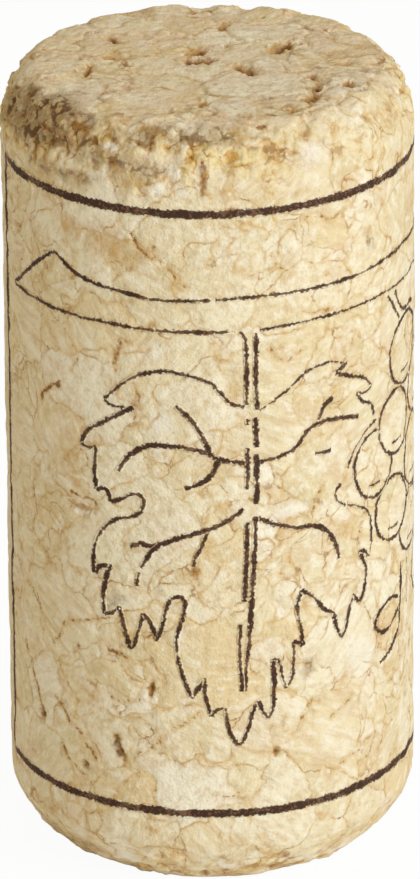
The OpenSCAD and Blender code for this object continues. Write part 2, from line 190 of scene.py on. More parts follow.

# %% [markdown]
# ## Where the cork was torn
#
# Some things sit in one place only: an open pore, a granule the saw tore out, a
# rusty stain, dirt and painted shade on the chamfer. Each is a soft oval, listed.
# The tears in the chamfers are too many for that, so a formula scatters them in
# rows. Noise ravels the ovals' edges, so that they don't look stamped.

# %% Pores and torn-out granules
# Each: [along or x, height or y, half length, half width, turn in degrees, depth]
WALL_PITS = [
    [-5.45, 8.9, 0.25, 0.2, 0, 0.5], [-5.1, 8.2, 0.5, 0.15, -60, 0.35], [3.5, 8.3, 0.2, 0.2, 0, 0.4],
    [-7.5, 6.8, 0.25, 0.25, 0, 0.4], [-10.8, 8.7, 0.3, 0.25, 60, 0.4], [-3.3, 12.1, 0.45, 0.15, 85, 0.3],
    [-7.4, 21.95, 0.9, 0.3, 2, 0.25], [24, 30, 0.5, 0.4, 0, 0.5], [30, 12, 0.4, 0.3, 0, 0.5],
    [-28, 21, 0.5, 0.3, 0, 0.5], [-20, 36, 0.4, 0.3, 0, 0.4], [-23, 9, 0.6, 0.4, 30, 0.5],
    [33, 22, 0.6, 0.3, 60, 0.4], [38, 38, 0.4, 0.3, 0, 0.4],
]
TOP_PITS = [
    [-0.7, 0.7, 0.65, 0.5, 20, 0.9], [0.05, 0.7, 0.5, 0.4, 60, 0.8], [-0.6, 2.1, 0.9, 0.7, 80, 0.45],
    [-5.1, 3.9, 0.45, 0.3, -60, 0.6], [-4.8, 3.35, 0.35, 0.25, 0, 0.45], [-4.9, 1.3, 0.75, 0.65, 0, 0.4],
    [-4.35, 0.2, 0.6, 0.18, -70, 0.35], [-3.7, -0.6, 0.5, 0.14, -20, 0.25], [-6.3, -0.8, 1, 0.17, 82, 0.3],
    [4, 2.8, 0.95, 0.75, 60, 0.5], [3.6, 1.9, 0.35, 0.3, 0, 0.4], [1, 3, 0.5, 0.2, 75, 0.4],
    [0.9, 6, 0.6, 0.45, 60, 0.35], [-0.5, 8.5, 0.85, 0.6, 40, 0.3], [1.8, -0.4, 0.9, 0.4, -55, 0.35],
    [2.3, -1.3, 0.6, 0.45, -80, 0.45], [4.8, -1.15, 0.8, 0.35, 15, 0.35], [5.6, -2.1, 0.7, 0.35, -70, 0.35],
    [5.8, -3.7, 0.75, 0.35, 85, 0.5], [5.5, -5.3, 0.85, 0.4, 75, 0.5], [5.3, -6.6, 0.5, 0.3, 90, 0.3],
    [7.4, -3.4, 0.6, 0.4, -60, 0.5], [7.4, 0, 0.4, 0.25, 0, 0.3], [-0.3, -6, 0.5, 0.35, 70, 0.35],
    [-2.1, -7.2, 0.45, 0.35, 20, 0.35], [4.4, -7.1, 0.55, 0.35, 0, 0.3], [5.1, 5.4, 0.4, 0.25, 45, 0.25],
    [6.3, 5.2, 0.45, 0.16, -60, 0.25], [3, 7.2, 0.35, 0.16, 80, 0.25],
]
BASE_PITS = [
    [-3, 2, 0.6, 0.5, 0, 0.8], [4.5, -1.5, 0.6, 0.4, 40, 0.6], [0.5, -5, 0.5, 0.35, 0, 0.5],
    [-5.5, -3.5, 0.4, 0.3, 70, 0.5], [2.5, 5.5, 0.6, 0.45, 20, 0.6],
]

# %% Stains, dirt and painted shade
# Each: [along or x, height or y, half length, half width, turn in degrees, strength].
# On a chamfer, the second value is the distance along its slope from the end.
WALL_MARKS = {
    "stain": [
        [-3.3, 12.15, 0.7, 0.22, 86, 1], [-10.8, 8.7, 0.45, 0.25, 60, 0.9], [-0.3, 41, 0.5, 0.12, 84, 0.8],
        [-0.85, 19.2, 0.35, 0.25, 70, 1], [-5.1, 31.3, 0.8, 0.14, 78, 0.7], [-10, 28, 0.8, 0.14, 38, 0.8],
        [-4, 28.6, 0.9, 0.2, 80, 0.5], [3.5, 8.4, 0.3, 0.22, 0, 0.8], [-7.8, 13.8, 0.2, 0.15, 0, 0.9],
        [5.9, 22.6, 0.5, 0.18, -30, 0.6], [8.8, 19.4, 0.4, 0.15, -60, 0.5], [-10.7, 41, 0.5, 0.14, 85, 0.6],
        [-7.8, 41, 0.3, 0.18, 0, 0.6], [-9.7, 40.6, 0.4, 0.2, 0, 0.6],
    ],
    # Dirt; the long one at the left, just under the chamfer, is painted shade as well
    "grime": [
        [-5.2, 8.3, 0.8, 0.3, -60, 0.9], [-8.5, 40.8, 3.5, 0.6, 0, 0.5], [5.3, 13, 0.8, 0.5, 60, 0.5],
        [9.7, 36.4, 1, 0.25, -60, 0.5],
    ],
    "tan": [
        [-5.8, 37.6, 2.8, 1.2, -10, 0.7], [-8.4, 25, 1, 2.2, 0, 0.5], [-4.1, 28.6, 0.6, 1.2, 0, 0.6],
        [-6.8, 7.6, 1.6, 0.9, 0, 0.5], [-3.4, 37.2, 0.9, 0.5, 20, 0.8], [3, 23.6, 1.1, 0.6, 0, 0.5],
        [-2.2, 25, 1, 0.5, 30, 0.5], [6.4, 33.3, 0.9, 0.25, 0, 0.8], [-1.6, 35.6, 0.8, 0.4, 0, 0.6],
        [5, 40.4, 0.8, 0.5, 0, 0.6], [20, 30, 3, 1.5, 30, 0.6], [-25, 15, 2.5, 2, 0, 0.6],
        [30, 18, 2, 3, 20, 0.5], [-30, 34, 3, 1.2, -20, 0.6],
    ],
    "pale": [
        [-7.3, 21.75, 1, 0.28, 2, 1], [-2.8, 27.8, 1.2, 0.7, -20, 0.5], [4.4, 22.4, 1.3, 0.5, 10, 0.6],
        [9, 12.4, 1.6, 1.6, 0, 0.5], [-3, 31.8, 1.2, 0.6, 0, 0.4], [2.3, 38.5, 0.3, 0.4, 0, 0.6],
        [-2.7, 40.9, 0.3, 0.5, 0, 0.7], [-1.4, 40.9, 0.3, 0.5, 0, 0.6], [25, 20, 2, 1, 30, 0.6],
    ],
    "smudge": [
        [-6, 18.75, 0.34, 0.3, 0, 1], [-5.3, 17.1, 1, 0.5, 30, 0.5], [-4.5, 14.65, 0.4, 0.25, 0, 0.6],
        [-7.4, 25.6, 0.25, 0.2, 0, 0.6], [-0.55, 12.9, 0.35, 0.2, 40, 0.5], [5.2, 12.9, 0.5, 0.4, 0, 0.3],
    ],
}
CHAMFER_MARKS = {
    "stain": [
        [-7.8, 1.15, 0.9, 0.3, -12, 1], [-10.5, 1.8, 0.55, 0.18, -8, 1], [-9, 2.3, 0.8, 0.3, 0, 0.5],
        [-5.3, 2.55, 0.35, 0.25, 0, 0.8], [-3.2, 1.1, 0.9, 0.18, 84, 1], [-1.6, 0.6, 0.2, 0.4, 0, 0.7],
        [3.4, 0.3, 0.45, 0.2, -10, 1], [-0.25, 2.9, 0.8, 0.25, 88, 1], [-6.7, 1.6, 0.3, 0.2, 0, 0.7],
        [2.6, 1.5, 0.3, 0.2, 0, 0.5], [20, 1.6, 0.6, 0.3, 0, 0.8], [-25, 1.2, 0.8, 0.3, 10, 0.8],
    ],
    # Dirt, and painted shade: the broad first one darkens the chamfer's left side, away from the lamp
    "grime": [
        [-11.2, 1.5, 7.2, 2, 0, 1], [-1.5, 0.6, 4.5, 0.7, 0, 0.6], [-22, 1.8, 5, 1.2, 0, 0.6],
    ],
    "pale": [[-5.6, 1.8, 0.5, 0.35, 0, 0.9], [-2, 2.6, 0.7, 0.4, 0, 0.6], [6, 2.2, 1.5, 0.8, 10, 0.5]],
}
LOW_CHAMFER_MARKS = {
    "stain": [
        [4.2, 2.6, 0.35, 0.25, 0, 0.9], [4.6, 1.9, 0.25, 0.35, 0, 1], [3.9, 1.3, 0.3, 0.15, 0, 0.7],
        [-7.6, 2.7, 0.3, 0.15, 20, 0.7], [-0.6, 1.2, 0.2, 0.4, 0, 0.8], [-4, 1.6, 0.35, 0.12, -30, 0.6],
        [1.6, 0.7, 0.3, 0.12, 0, 0.6], [-22, 1.7, 0.7, 0.2, 10, 0.7], [18, 2.1, 0.6, 0.2, -15, 0.7],
    ],
    # Dirt, and painted shade on the left side, away from the lamp
    "grime": [[-10, 1.8, 3.6, 1.5, 0, 0.45], [24, 1.6, 4, 1.2, 0, 0.4]],
    "tan": [
        [-8, 2.4, 2.2, 1, 0, 0.8], [-2.5, 2.4, 1.2, 0.6, 10, 0.6], [2.6, 1.6, 1, 0.7, 0, 0.6],
        [7.5, 2.4, 1.2, 0.6, 0, 0.6], [28, 1.6, 3, 1, 0, 0.6],
    ],
    "pale": [
        [-5.2, 2, 1, 0.6, 15, 0.8], [0.6, 2, 0.8, 0.7, 0, 0.8], [5.9, 1.8, 0.7, 0.6, 0, 0.9],
        [8.6, 1.4, 0.8, 0.5, 0, 0.8], [2.4, 3, 0.5, 0.4, 0, 0.7], [-15, 2, 2, 0.8, 0, 0.6],
    ],
}
TOP_MARKS = {
    "stain": [
        [-0.4, 0.7, 0.8, 0.5, 0, 1], [-0.5, 2.2, 0.9, 0.5, 80, 0.5], [5.7, -3.9, 0.9, 0.3, 85, 0.8],
        [5.4, -5.4, 0.7, 0.3, 80, 0.9], [7.4, -3.4, 0.5, 0.3, -60, 1], [2.2, -1.3, 0.6, 0.3, -70, 0.6],
        [-6.3, -0.8, 0.9, 0.16, 82, 0.7], [-4.4, 0.3, 0.5, 0.16, -70, 0.7], [-2.1, -7.2, 0.4, 0.25, 20, 0.7],
        [3.4, -7.8, 0.4, 0.25, 0, 0.7],
    ],
    "grime": [[4, 2.7, 0.9, 0.6, 60, 0.6], [-0.5, 8.5, 0.9, 0.7, 40, 0.5], [3.2, -5.6, 0.5, 0.6, 0, 0.4]],
    "tan": [[-4.9, 1.3, 0.8, 0.6, 0, 0.7], [0.9, 6, 0.6, 0.5, 60, 0.6], [4.8, -1.3, 1.1, 0.4, 0, 0.7]],
}

# %% Marks as ovals in space
UP = Vector((0, 0, 1))


def ahead(turn):
    """The level way out of the cork at a turn round it from the middle of the front."""
    return Vector((math.sin(turn), -math.cos(turn), 0))


def on_wall(along, height):
    """The place on the wall, measured round it from the middle of the front."""
    return ahead(along / cork_r) * cork_r + UP * height


def top_at(y):
    """Height of the askew upper end at y."""
    return cork_l - (y + top_face_r) * math.tan(top_slant)


def wall_frame(m):
    return on_wall(m[0], m[1]), ahead(m[0] / cork_r + math.pi / 2), UP


def chamfer_frame(m, edge=top_edge, wall=top_wall):
    run = wall - edge
    middle, outward = on_chamfer(edge, wall, m[1] / run.length)
    radial = ahead(m[0] / cork_r)
    upward = (radial * run.x + UP * run.y) * (math.copysign(1, run.y) / run.length)
    return radial * middle.x + UP * middle.y, ahead(m[0] / cork_r + math.pi / 2), upward


def top_frame(m):
    return Vector((m[0], m[1], top_at(m[1]))), Vector((1, 0, 0)), Vector((0, 1, 0))


def base_frame(m):
    return Vector((m[0], m[1], 0)), Vector((1, 0, 0)), Vector((0, -1, 0))


def oval_mark(m, framed):
    """A mark as its middle, its two axes over its half sizes, its reach and its strength."""
    middle, u, v = framed(m)
    turn = math.radians(m[4])
    long_axis = (u * math.cos(turn) + v * math.sin(turn)) / m[2]
    short_axis = (v * math.cos(turn) - u * math.sin(turn)) / m[3]
    return middle, long_axis, short_axis, max(m[2], m[3]), m[5]


# %% Tears, scattered in rows round both chamfers
tear_depth = 0.17
base_tear_share = 0.6
tear_half_l, tear_half_w = 1.05, 0.72
top_tear_rows, top_tears = [0.12, 0.62], 38
base_tear_rows, base_tears = [0.3, 0.7], 12


def leap(i, key):
    """A value from -1 to 1 for tear i, which leaps about from one tear to the next."""
    return math.sin(math.radians(i * (71 + 43 * key)))


def tears(edge, wall, rows, count, depth):
    """The tears round the chamfer from edge to wall, as oval marks."""
    for i in range(count):
        middle, outward = on_chamfer(edge, wall, rows[i % len(rows)] + 0.08 * leap(i, 1))
        turn = math.tau * i / count + math.radians(3 * leap(i, 4)) + math.pi / 2
        radial, tangent = ahead(turn), ahead(turn + math.pi / 2)
        slope = radial * outward.y - UP * outward.x
        half_l = tear_half_l * (1 + 0.3 * leap(i, 2))
        half_w = tear_half_w * (1 + 0.3 * leap(i, 3))
        m = [0, 0, half_l, half_w, 90 + 50 * leap(i, 5), depth * (1 + 0.4 * leap(i, 6))]
        yield oval_mark(m, lambda m: (radial * middle.x + UP * middle.y, slope, tangent))


marks = {"pit": [], "tear": []}
for pits, framed in ((WALL_PITS, wall_frame), (TOP_PITS, top_frame), (BASE_PITS, base_frame)):
    marks["pit"] += [oval_mark(m, framed) for m in pits]
base_tear_depth = tear_depth * base_tear_share
marks["tear"] += tears(top_edge, top_wall, top_tear_rows, top_tears, tear_depth)
marks["tear"] += tears(base_edge, base_wall, base_tear_rows, base_tears, base_tear_depth)
for kinds, framed in (
    (WALL_MARKS, wall_frame), (CHAMFER_MARKS, chamfer_frame), (TOP_MARKS, top_frame),
    (LOW_CHAMFER_MARKS, lambda m: chamfer_frame(m, base_edge, base_wall)),
):
    for kind, found in kinds.items():
        marks.setdefault(kind, []).extend(oval_mark(m, framed) for m in found)
print({kind: len(found) for kind, found in marks.items()})

# %% [markdown]
# ## Seams that opened
#
# Here and there a glued seam has parted and gapes as a fine dark crack. Each is
# listed as a few points, and a smooth curve runs through them. The
# strokes of the print are drawn the same way further down. The curve becomes a
# row of evenly spaced points, and a search tree then says how far any place on
# the skin lies from the nearest crack.

# %% Curves through the points
column_pitch = 0.12
curve_steps = 12


def even_curve(points):
    """Evenly spaced points on the smooth curve that runs through the given ones."""
    p = [Vector(q) for q in points]
    p = [2 * p[0] - p[1]] + p + [2 * p[-1] - p[-2]]
    dense = []
    for a, b, c, d in zip(p, p[1:], p[2:], p[3:]):
        for t in (k / curve_steps for k in range(curve_steps)):
            bend = (2 * a - 5 * b + 4 * c - d) * t**2 + (3 * b - a - 3 * c + d) * t**3
            dense.append((2 * b + (c - a) * t + bend) / 2)
    dense.append(p[-2])
    return even_steps(dense)


def even_steps(dense):
    """The same line, with its points at an even pitch."""
    runs = [(b - a).length for a, b in zip(dense, dense[1:])]
    count = max(3, round(sum(runs) / column_pitch))
    pitch = sum(runs) / count
    even, k, passed = [dense[0]], 0, 0.0
    for i in range(1, count):
        while passed + runs[k] < i * pitch:
            passed += runs[k]
            k += 1
        even.append(dense[k].lerp(dense[k + 1], (i * pitch - passed) / runs[k]))
    return even + [dense[-1]]


# %% Seams that opened
# Each: a strength, and then the points, [along, height], that the seam runs through
OPEN_SEAMS = [
    [1, [-10.3, 27.3], [-10.2, 27.8], [-9.7, 28.2], [-9, 28.6]],
    [0.9, [-12.4, 16], [-11.4, 15.7], [-10.8, 14.9], [-10.2, 14], [-9.6, 13.3]],
    [0.92, [-9.4, 13.8], [-8.8, 14.6], [-8, 15.2], [-6.8, 15.6], [-5.2, 16.1]],
    [1, [-5.7, 14], [-5.2, 14], [-4.7, 13.7]],
    [0.95, [-12.6, 12.3], [-12, 11.4], [-11.5, 10.7], [-10.9, 9.2], [-10.6, 8.7]],
    [0.93, [-9.6, 10.2], [-8.6, 9.2], [-7.8, 8.7], [-7.2, 7.9], [-6.6, 7.4]],
    [0.88, [-0.5, 11], [-1.5, 10.3], [-2.5, 9.6], [-3.2, 8.8], [-4.2, 8.2]],
    [0.88, [4.2, 9], [4.9, 10], [5.7, 11.2]], [0.88, [8.3, 10.7], [7.6, 10.2], [6.9, 9.8]],
    [0.95, [-8, 22.6], [-7.2, 22.55], [-6.4, 22.3]], [0.9, [-7.3, 25.3], [-7, 24.6], [-7.3, 24.1]],
    [0.96, [-4.9, 32], [-5.05, 31.4], [-5.25, 30.7]], [0.9, [-4.1, 29.8], [-3.8, 28.7], [-4.05, 27.6]],
    [0.95, [-4.1, 38.2], [-3.5, 37.3], [-3, 37], [-2.9, 37.7]],
    [0.88, [-5.6, 36.3], [-4.6, 36.7], [-3.6, 37]], [0.9, [-2.2, 36.6], [-1.8, 35.8], [-1.3, 35.4]],
    [0.88, [3.4, 37.2], [3.8, 36.5], [4.5, 36]], [0.9, [5.2, 33.6], [6, 33.4], [6.9, 33.3]],
    [0.86, [-11.4, 37.4], [-10.9, 36.3], [-10.3, 35.4]],
    [0.86, [-11.6, 22], [-11.2, 20.7], [-11.5, 19.5], [-10.6, 18.6], [-9.4, 17.8]],
    [0.9, [-0.8, 20], [-0.9, 19.2], [-0.6, 18.4]], [0.88, [6.4, 23.6], [5.9, 22.7], [5.4, 22]],
    [0.88, [8.9, 20.2], [8.7, 19.3], [9.1, 18.7]], [0.86, [-8.4, 31.8], [-7.6, 30.9], [-7.9, 29.8]],
    [0.86, [-6.2, 11.6], [-5, 11.2], [-3.6, 11.5], [-2.6, 10.9]],
    [0.9, [-9.2, 7.6], [-8.4, 6.8], [-7.4, 6.2]], [0.86, [6.6, 6.2], [7.6, 6.9], [8.9, 7], [9.8, 6.4]],
    [0.9, [0.2, 6.2], [0.9, 5.9], [1.6, 6.3]], [0.86, [4.6, 38.6], [5.7, 39], [6.8, 38.5], [7.9, 38.8]],
    [0.88, [3.2, 31.8], [4.1, 31.2], [5.2, 31.6]], [0.9, [18, 34], [19, 32.4], [18.6, 30.6]],
    [0.9, [23, 24], [24.6, 23.4], [26, 24.2], [27.4, 23.6]],
    [0.9, [-19, 28], [-17.8, 26.8], [-18.2, 25.2], [-16.9, 24.1]],
    [0.9, [-26, 12], [-24.6, 13], [-23, 12.6]], [0.9, [33, 33], [31.6, 31.9], [31.9, 30.2]],
]
seam_reach = 0.5

seam_places, seam_strengths = [], []
for strength, *points in OPEN_SEAMS:
    for q in even_curve(points):
        seam_places.append(on_wall(q.x, q.y))
        seam_strengths.append(strength)
seam_tree = kdtree.KDTree(len(seam_places))
for i, place in enumerate(seam_places):
    seam_tree.insert(place, i)
seam_tree.balance()
print(f"{len(OPEN_SEAMS)} open seams, {len(seam_places)} points")


# %% Refine the skin where it needs to show more
chamfer_margin = 0.3
pit_margin = 0.15
seam_margin = 0.25
pit_mouth = 1.1


def refine(bm, wanted):
    """Splits each face whose middle, in millimetres, is wanted into four."""
    found = [f for f in bm.faces if wanted(f.calc_center_median() / MM)]
    edges = list({e for f in found for e in f.edges})
    bmesh.ops.subdivide_edges(bm, edges=edges, cuts=1, use_grid_fill=True)


def away_from(mark, p):
    """How far p is from a mark's middle: 1 is its edge."""
    middle, long_axis, short_axis = mark[:3]
    return math.hypot(long_axis.dot(p - middle), short_axis.dot(p - middle))


bm = bmesh.new()
bm.from_mesh(cork.data)
refine(bm, lambda p: p.z > top_wall.y - chamfer_margin)
refine(bm, lambda p: any((p - m[0]).length < m[3] + pit_margin for m in marks["pit"]))
refine(bm, lambda p: any((p - m[0]).length < m[3] and away_from(m, p) < pit_mouth for m in marks["pit"]))
refine(bm, lambda p: seam_tree.find(p)[2] < seam_margin)
bmesh.ops.triangulate(bm, faces=bm.faces)
bm.to_mesh(cork.data)
bm.free()
cork.data.shade_smooth()
print(f"refined to {len(cork.data.polygons)} triangles")


# %% [markdown]
# ## Masks
#
# Every mark is painted into a point attribute, one number for each point of the
# skin. An attribute goes along with its points when they move, and geometry
# nodes and materials can both read it, so one mask can sink a pore and darken
# it as well.

# %% Paint the marks into point attributes
# Without a seed, noise_vector starts from the clock, and the seams lie elsewhere in each run.
seam_seed = 1795468095
noise.seed_set(seam_seed)


def smoothstep(low, high, x):
    t = min(1, max(0, (x - low) / (high - low)))
    return t * t * (3 - 2 * t)


def torn(p):
    """How roughly the chamfers were ground: most at the upper one, none on the ends."""
    below = top_at(p.y) - p.z
    uneven = 1.5 * noise.noise(p * 0.35) + 0.6 * noise.noise(p * 1.3)
    past_rim = math.hypot(p.x, p.y) - top_face_r + 0.4 * (noise.noise(p * 0.8) + noise.noise(p * 2.1))
    upper = smoothstep(4.2, 1.6, below + uneven) * smoothstep(-0.5, 0.3, past_rim)
    upper *= smoothstep(-0.6, 0.1, noise.noise(p * 0.55) + 0.3 * noise.noise(p * 1.7))
    upper *= 0.3 + 0.7 * smoothstep(0.2, 1.3, below)
    lower = smoothstep(3.4, 1.2, p.z + uneven) * smoothstep(0.02, 0.4, p.z)
    smooth_side = smoothstep(1, 6, p.x + 2 * noise.noise(p * 0.5)) * smoothstep(2, -4, p.y)
    return max(upper * (1 - 0.6 * smooth_side), 0.6 * lower * smoothstep(-0.4, 0.2, noise.noise(p * 0.5)))


def cut_end(p):
    """1 on the two flat ends, where the saw went through the granules."""
    inside = cork_r - math.hypot(p.x, p.y)
    return smoothstep(1.0, 1.8, inside) * smoothstep(0.45, 0.05, min(top_at(p.y) - p.z, p.z))


def open_seam(p):
    """1 in the middle of an open seam, falling to 0 half a millimetre away."""
    shaken = p + noise.noise_vector(p * 1.3) * 0.2 + noise.noise_vector(p * 4) * 0.12
    _, i, away = seam_tree.find(shaken)
    return seam_strengths[i] * max(0, 1 - away / seam_reach)


def filled(kind, away):
    """How much of its strength a mark has at a distance: a pore has a wide shallow mouth too."""
    if kind != "pit":
        return smoothstep(1, 0.4, away)
    return 0.85 * smoothstep(1.1, 0.15, away) + 0.15 * smoothstep(2, 0.9, away)


places = [v.co / MM for v in cork.data.vertices]
skin_tree = kdtree.KDTree(len(places))
for i, p in enumerate(places):
    skin_tree.insert(p, i)
skin_tree.balance()
painted = {}
for kind, found in marks.items():
    values = [0.0] * len(places)
    for mark in found:
        middle, reach, strength = mark[0], mark[3], mark[4]
        for p, i, _ in skin_tree.find_range(middle, 2 * reach):
            away = away_from(mark, p)
            away *= 1 + 0.5 * noise.noise(p * (1.6 / reach)) + 0.45 * noise.noise(p * (4 / reach))
            values[i] = max(values[i], strength * filled(kind, away))
    painted[kind] = values
painted["torn"] = [max(torn(p), min(1, 3 * deep)) for p, deep in zip(places, painted["pit"])]
painted["cut_end"] = [cut_end(p) for p in places]
painted["open_seam"] = [open_seam(p) for p in places]
for name, values in painted.items():
    cork.data.attributes.new(name, "FLOAT", "POINT").data.foreach_set("value", values)
print("painted:", list(painted))

# %% [markdown]
# ## One pattern for relief and colour
#
# Granules are cells of a Voronoi pattern, bent by noise so that their sides
# aren't straight. Every fourth granule is a clump of small chips, which fills
# the gaps between the large ones. The pattern is worked out in space, not on
# the surface, so a granule that meets both the wall and the end looks cut
# through. The same nodes serve the relief and the colour, so a groove lies
# where its seam is drawn.

# %% Granules and crumbs
granule_size = 3.7
granule_bend = 2.2
chip_size = 1.7
clump_share = 0.25
crumb_size = 0.75
crumb_bend = 0.55


def bent_by_noise(tree, place, reach, **waves):
    """The place, moved by noise of the given waves, up to reach millimetres each way."""
    shake = add(tree, "ShaderNodeTexNoise", {"Vector": place, **waves}).outputs["Color"]
    bend = {0: shake, 1: (2 * reach,) * 3, 2: (-reach,) * 3}
    bend = add(tree, "ShaderNodeVectorMath", bend, operation="MULTIPLY_ADD")
    return add(tree, "ShaderNodeVectorMath", {0: place, 1: bend}, operation="ADD")


def granules(tree, place):
    """The seam distance in millimetres and a random colour for each granule."""
    bent = bent_by_noise(tree, place, granule_bend, Scale=0.33, Detail=4, Roughness=0.47)
    cells = {}
    for size in (granule_size, chip_size):
        cell = {"Vector": bent, "Scale": 1 / size}
        colour = add(tree, "ShaderNodeTexVoronoi", cell).outputs["Color"]
        edge = add(tree, "ShaderNodeTexVoronoi", cell, feature="DISTANCE_TO_EDGE").outputs["Distance"]
        cells[size] = colour, add(tree, "ShaderNodeMath", {0: edge, 1: size}, operation="MULTIPLY")
    (colour, seam), (chip_colour, chip_seam) = cells[granule_size], cells[chip_size]
    lot = add(tree, "ShaderNodeSeparateXYZ", {0: colour}).outputs["Z"]
    clump = add(tree, "ShaderNodeMath", {0: lot, 1: clump_share}, operation="LESS_THAN")
    either = add(tree, "ShaderNodeMix", {0: clump, 6: colour, 7: chip_colour}, data_type="RGBA")
    nearer = add(tree, "ShaderNodeMath", {0: seam, 1: chip_seam}, operation="MINIMUM")
    seam = add(tree, "ShaderNodeMix", {0: clump, 2: seam, 3: nearer})
    return seam, either


def crumbs(tree, place):
    """Height of the crumbs on torn cork: about 0 in the gaps and 1 on a large crumb."""
    bent = bent_by_noise(tree, place, crumb_bend, Scale=1.1, Detail=2, Roughness=0.6)
    lumps = {"Vector": bent, "Scale": 1 / crumb_size, "Detail": 2, "Roughness": 0.45}
    lumps = add(tree, "ShaderNodeTexVoronoi", lumps).outputs["Distance"]
    return add(tree, "ShaderNodeMapRange", {0: lumps, 1: 1.55, 2: 0.4})


# %% [markdown]
# ## Relief
#
# A cut granule stands a few hundredths of a millimetre above or below its
# neighbours, a seam is a shallow groove, and a torn chamfer is all crumbs. A
# geometry node modifier moves each point along its normal by that height, and
# is applied at once. What is finer than the skin's faces is left to bump.

# %% Move the skin
step_height = 0.075
end_step = 0.2
groove_depth = 0.06
groove_half_w = 0.45
end_groove_half_w = 0.17
seam_depth = 0.08
crumb_height, crumb_middle = 0.42, 0.62
swell_height, swell_middle = 0.12, 0.55
pore_smoothing = 3
pore_from = 0.08

relief = bpy.data.node_groups.new("granule relief", "GeometryNodeTree")
relief.interface.new_socket("Geometry", in_out="INPUT", socket_type="NodeSocketGeometry")
relief.interface.new_socket("Geometry", in_out="OUTPUT", socket_type="NodeSocketGeometry")
skin_in = add(relief, "NodeGroupInput")
position = add(relief, "GeometryNodeInputPosition")
place = add(relief, "ShaderNodeVectorMath", {0: position, "Scale": 1 / MM}, operation="SCALE")
seam, random_colour = granules(relief, place)
attribute = {
    name: add(relief, "GeometryNodeInputNamedAttribute", {"Name": name})
    for name in ("torn", "cut_end", "pit", "tear", "open_seam")
}

chance = add(relief, "ShaderNodeSeparateXYZ", {0: random_colour}).outputs["X"]
centred = add(relief, "ShaderNodeMath", {0: chance, 1: 0.5}, operation="SUBTRACT")
rougher = add(relief, "ShaderNodeMath", {0: attribute["torn"], 1: attribute["cut_end"]}, operation="MAXIMUM")
step_size = add(relief, "ShaderNodeMapRange", {0: rougher, 3: step_height, 4: end_step})
steps = add(relief, "ShaderNodeMath", {0: centred, 1: step_size}, operation="MULTIPLY")
slope_w = {0: attribute["cut_end"], 3: groove_half_w, 4: end_groove_half_w}
slope_w = add(relief, "ShaderNodeMapRange", slope_w)
whole = add(relief, "ShaderNodeMapRange", {0: seam, 2: slope_w}, interpolation_type="SMOOTHSTEP")
steps = add(relief, "ShaderNodeMath", {0: steps, 1: groove_depth}, operation="ADD")
height = add(relief, "ShaderNodeMath", {0: steps, 1: whole, 2: -groove_depth}, operation="MULTIPLY_ADD")
crumb = add(relief, "ShaderNodeMath", {0: crumbs(relief, place), 1: crumb_middle}, operation="SUBTRACT")
crumb = add(relief, "ShaderNodeMath", {0: crumb, 1: attribute["torn"]}, operation="MULTIPLY")
swell = add(relief, "ShaderNodeTexNoise", {"Vector": place, "Scale": 0.6})
swell = add(relief, "ShaderNodeMath", {0: swell, 1: swell_middle}, operation="SUBTRACT")
for part, size in ((crumb, crumb_height), (swell, swell_height)):
    height = add(relief, "ShaderNodeMath", {0: part, 1: size, 2: height}, operation="MULTIPLY_ADD")
groove = add(relief, "ShaderNodeMapRange", {0: attribute["open_seam"], 1: 0.65, 2: 0.95, 4: seam_depth})
for sunk in (attribute["pit"], attribute["tear"], groove):
    height = add(relief, "ShaderNodeMath", {0: height, 1: sunk}, operation="SUBTRACT")
metres = add(relief, "ShaderNodeMath", {0: height, 1: MM}, operation="MULTIPLY")
normal = add(relief, "GeometryNodeInputNormal")
shift = add(relief, "ShaderNodeVectorMath", {0: normal, "Scale": metres}, operation="SCALE")
moved = add(relief, "GeometryNodeSetPosition", {"Geometry": skin_in, "Offset": shift})
add(relief, "NodeGroupOutput", {0: moved})

cork.modifiers.new("Relief", "NODES").node_group = relief
apply_modifiers(cork)
bm = bmesh.new()
bm.from_mesh(cork.data)
sunk = [v for v, deep in zip(bm.verts, painted["pit"]) if deep > pore_from]
for _ in range(pore_smoothing):
    bmesh.ops.smooth_vert(bm, verts=sunk, factor=0.5, use_axis_x=True, use_axis_y=True, use_axis_z=True)
bm.to_mesh(cork.data)
bm.free()
low = min(v.co.z for v in cork.data.vertices)
for v in cork.data.vertices:
    v.co.z = max(v.co.z, 0)
print(f"the relief reached {low / MM:.3f} mm below the base and was cut flat there")

# %% [markdown]
# ## Finish: bare cork
#
# Bare cork is dry and matt, with almost no gloss, since the cells at its
# surface are open. Its warmth is in small differences. The granules are nearly
# one tone, patches of tan and cream drift over them, and a seam shows only here
# and there as a thin, broken brown line. All of it is one node group, because
# the print needs the same cork between its blots of ink.

# %% Granule tones
TONES = ["#f4e8c2", "#e9d8aa", "#f9f0d3", "#eeddb0", "#f3e8c4", "#ead3a0", "#f6ebc8"]

finish = bpy.data.node_groups.new("pressed cork", "ShaderNodeTree")
for name, kind in (("Colour", "Color"), ("Roughness", "Float"), ("Normal", "Vector")):
    finish.interface.new_socket(name, in_out="OUTPUT", socket_type="NodeSocket" + kind)
here = add(finish, "ShaderNodeTexCoord").outputs["Object"]
place = add(finish, "ShaderNodeVectorMath", {0: here, "Scale": 1 / MM}, operation="SCALE")
seam, random_colour = granules(finish, place)
crumb = crumbs(finish, place)
masks = {
    name: add(finish, "ShaderNodeAttribute", attribute_name=name).outputs["Fac"]
    for name in ("torn", "cut_end", "open_seam", *marks)
}

chance = add(finish, "ShaderNodeSeparateXYZ", {0: random_colour}).outputs["Y"]
ramp = add(finish, "ShaderNodeValToRGB", {0: chance})
ramp.color_ramp.elements[0].color = linear(TONES[0])
ramp.color_ramp.elements[1].color = linear(TONES[-1])
for k, tone in enumerate(TONES[1:-1], 1):
    ramp.color_ramp.elements.new(k / (len(TONES) - 1)).color = linear(tone)
colour = ramp

# %% Growth lines, which run their own way in each granule
# The noise is squeezed by this share along the fibre, and so drawn out seven times as long.
fibre_squeeze = 0.86

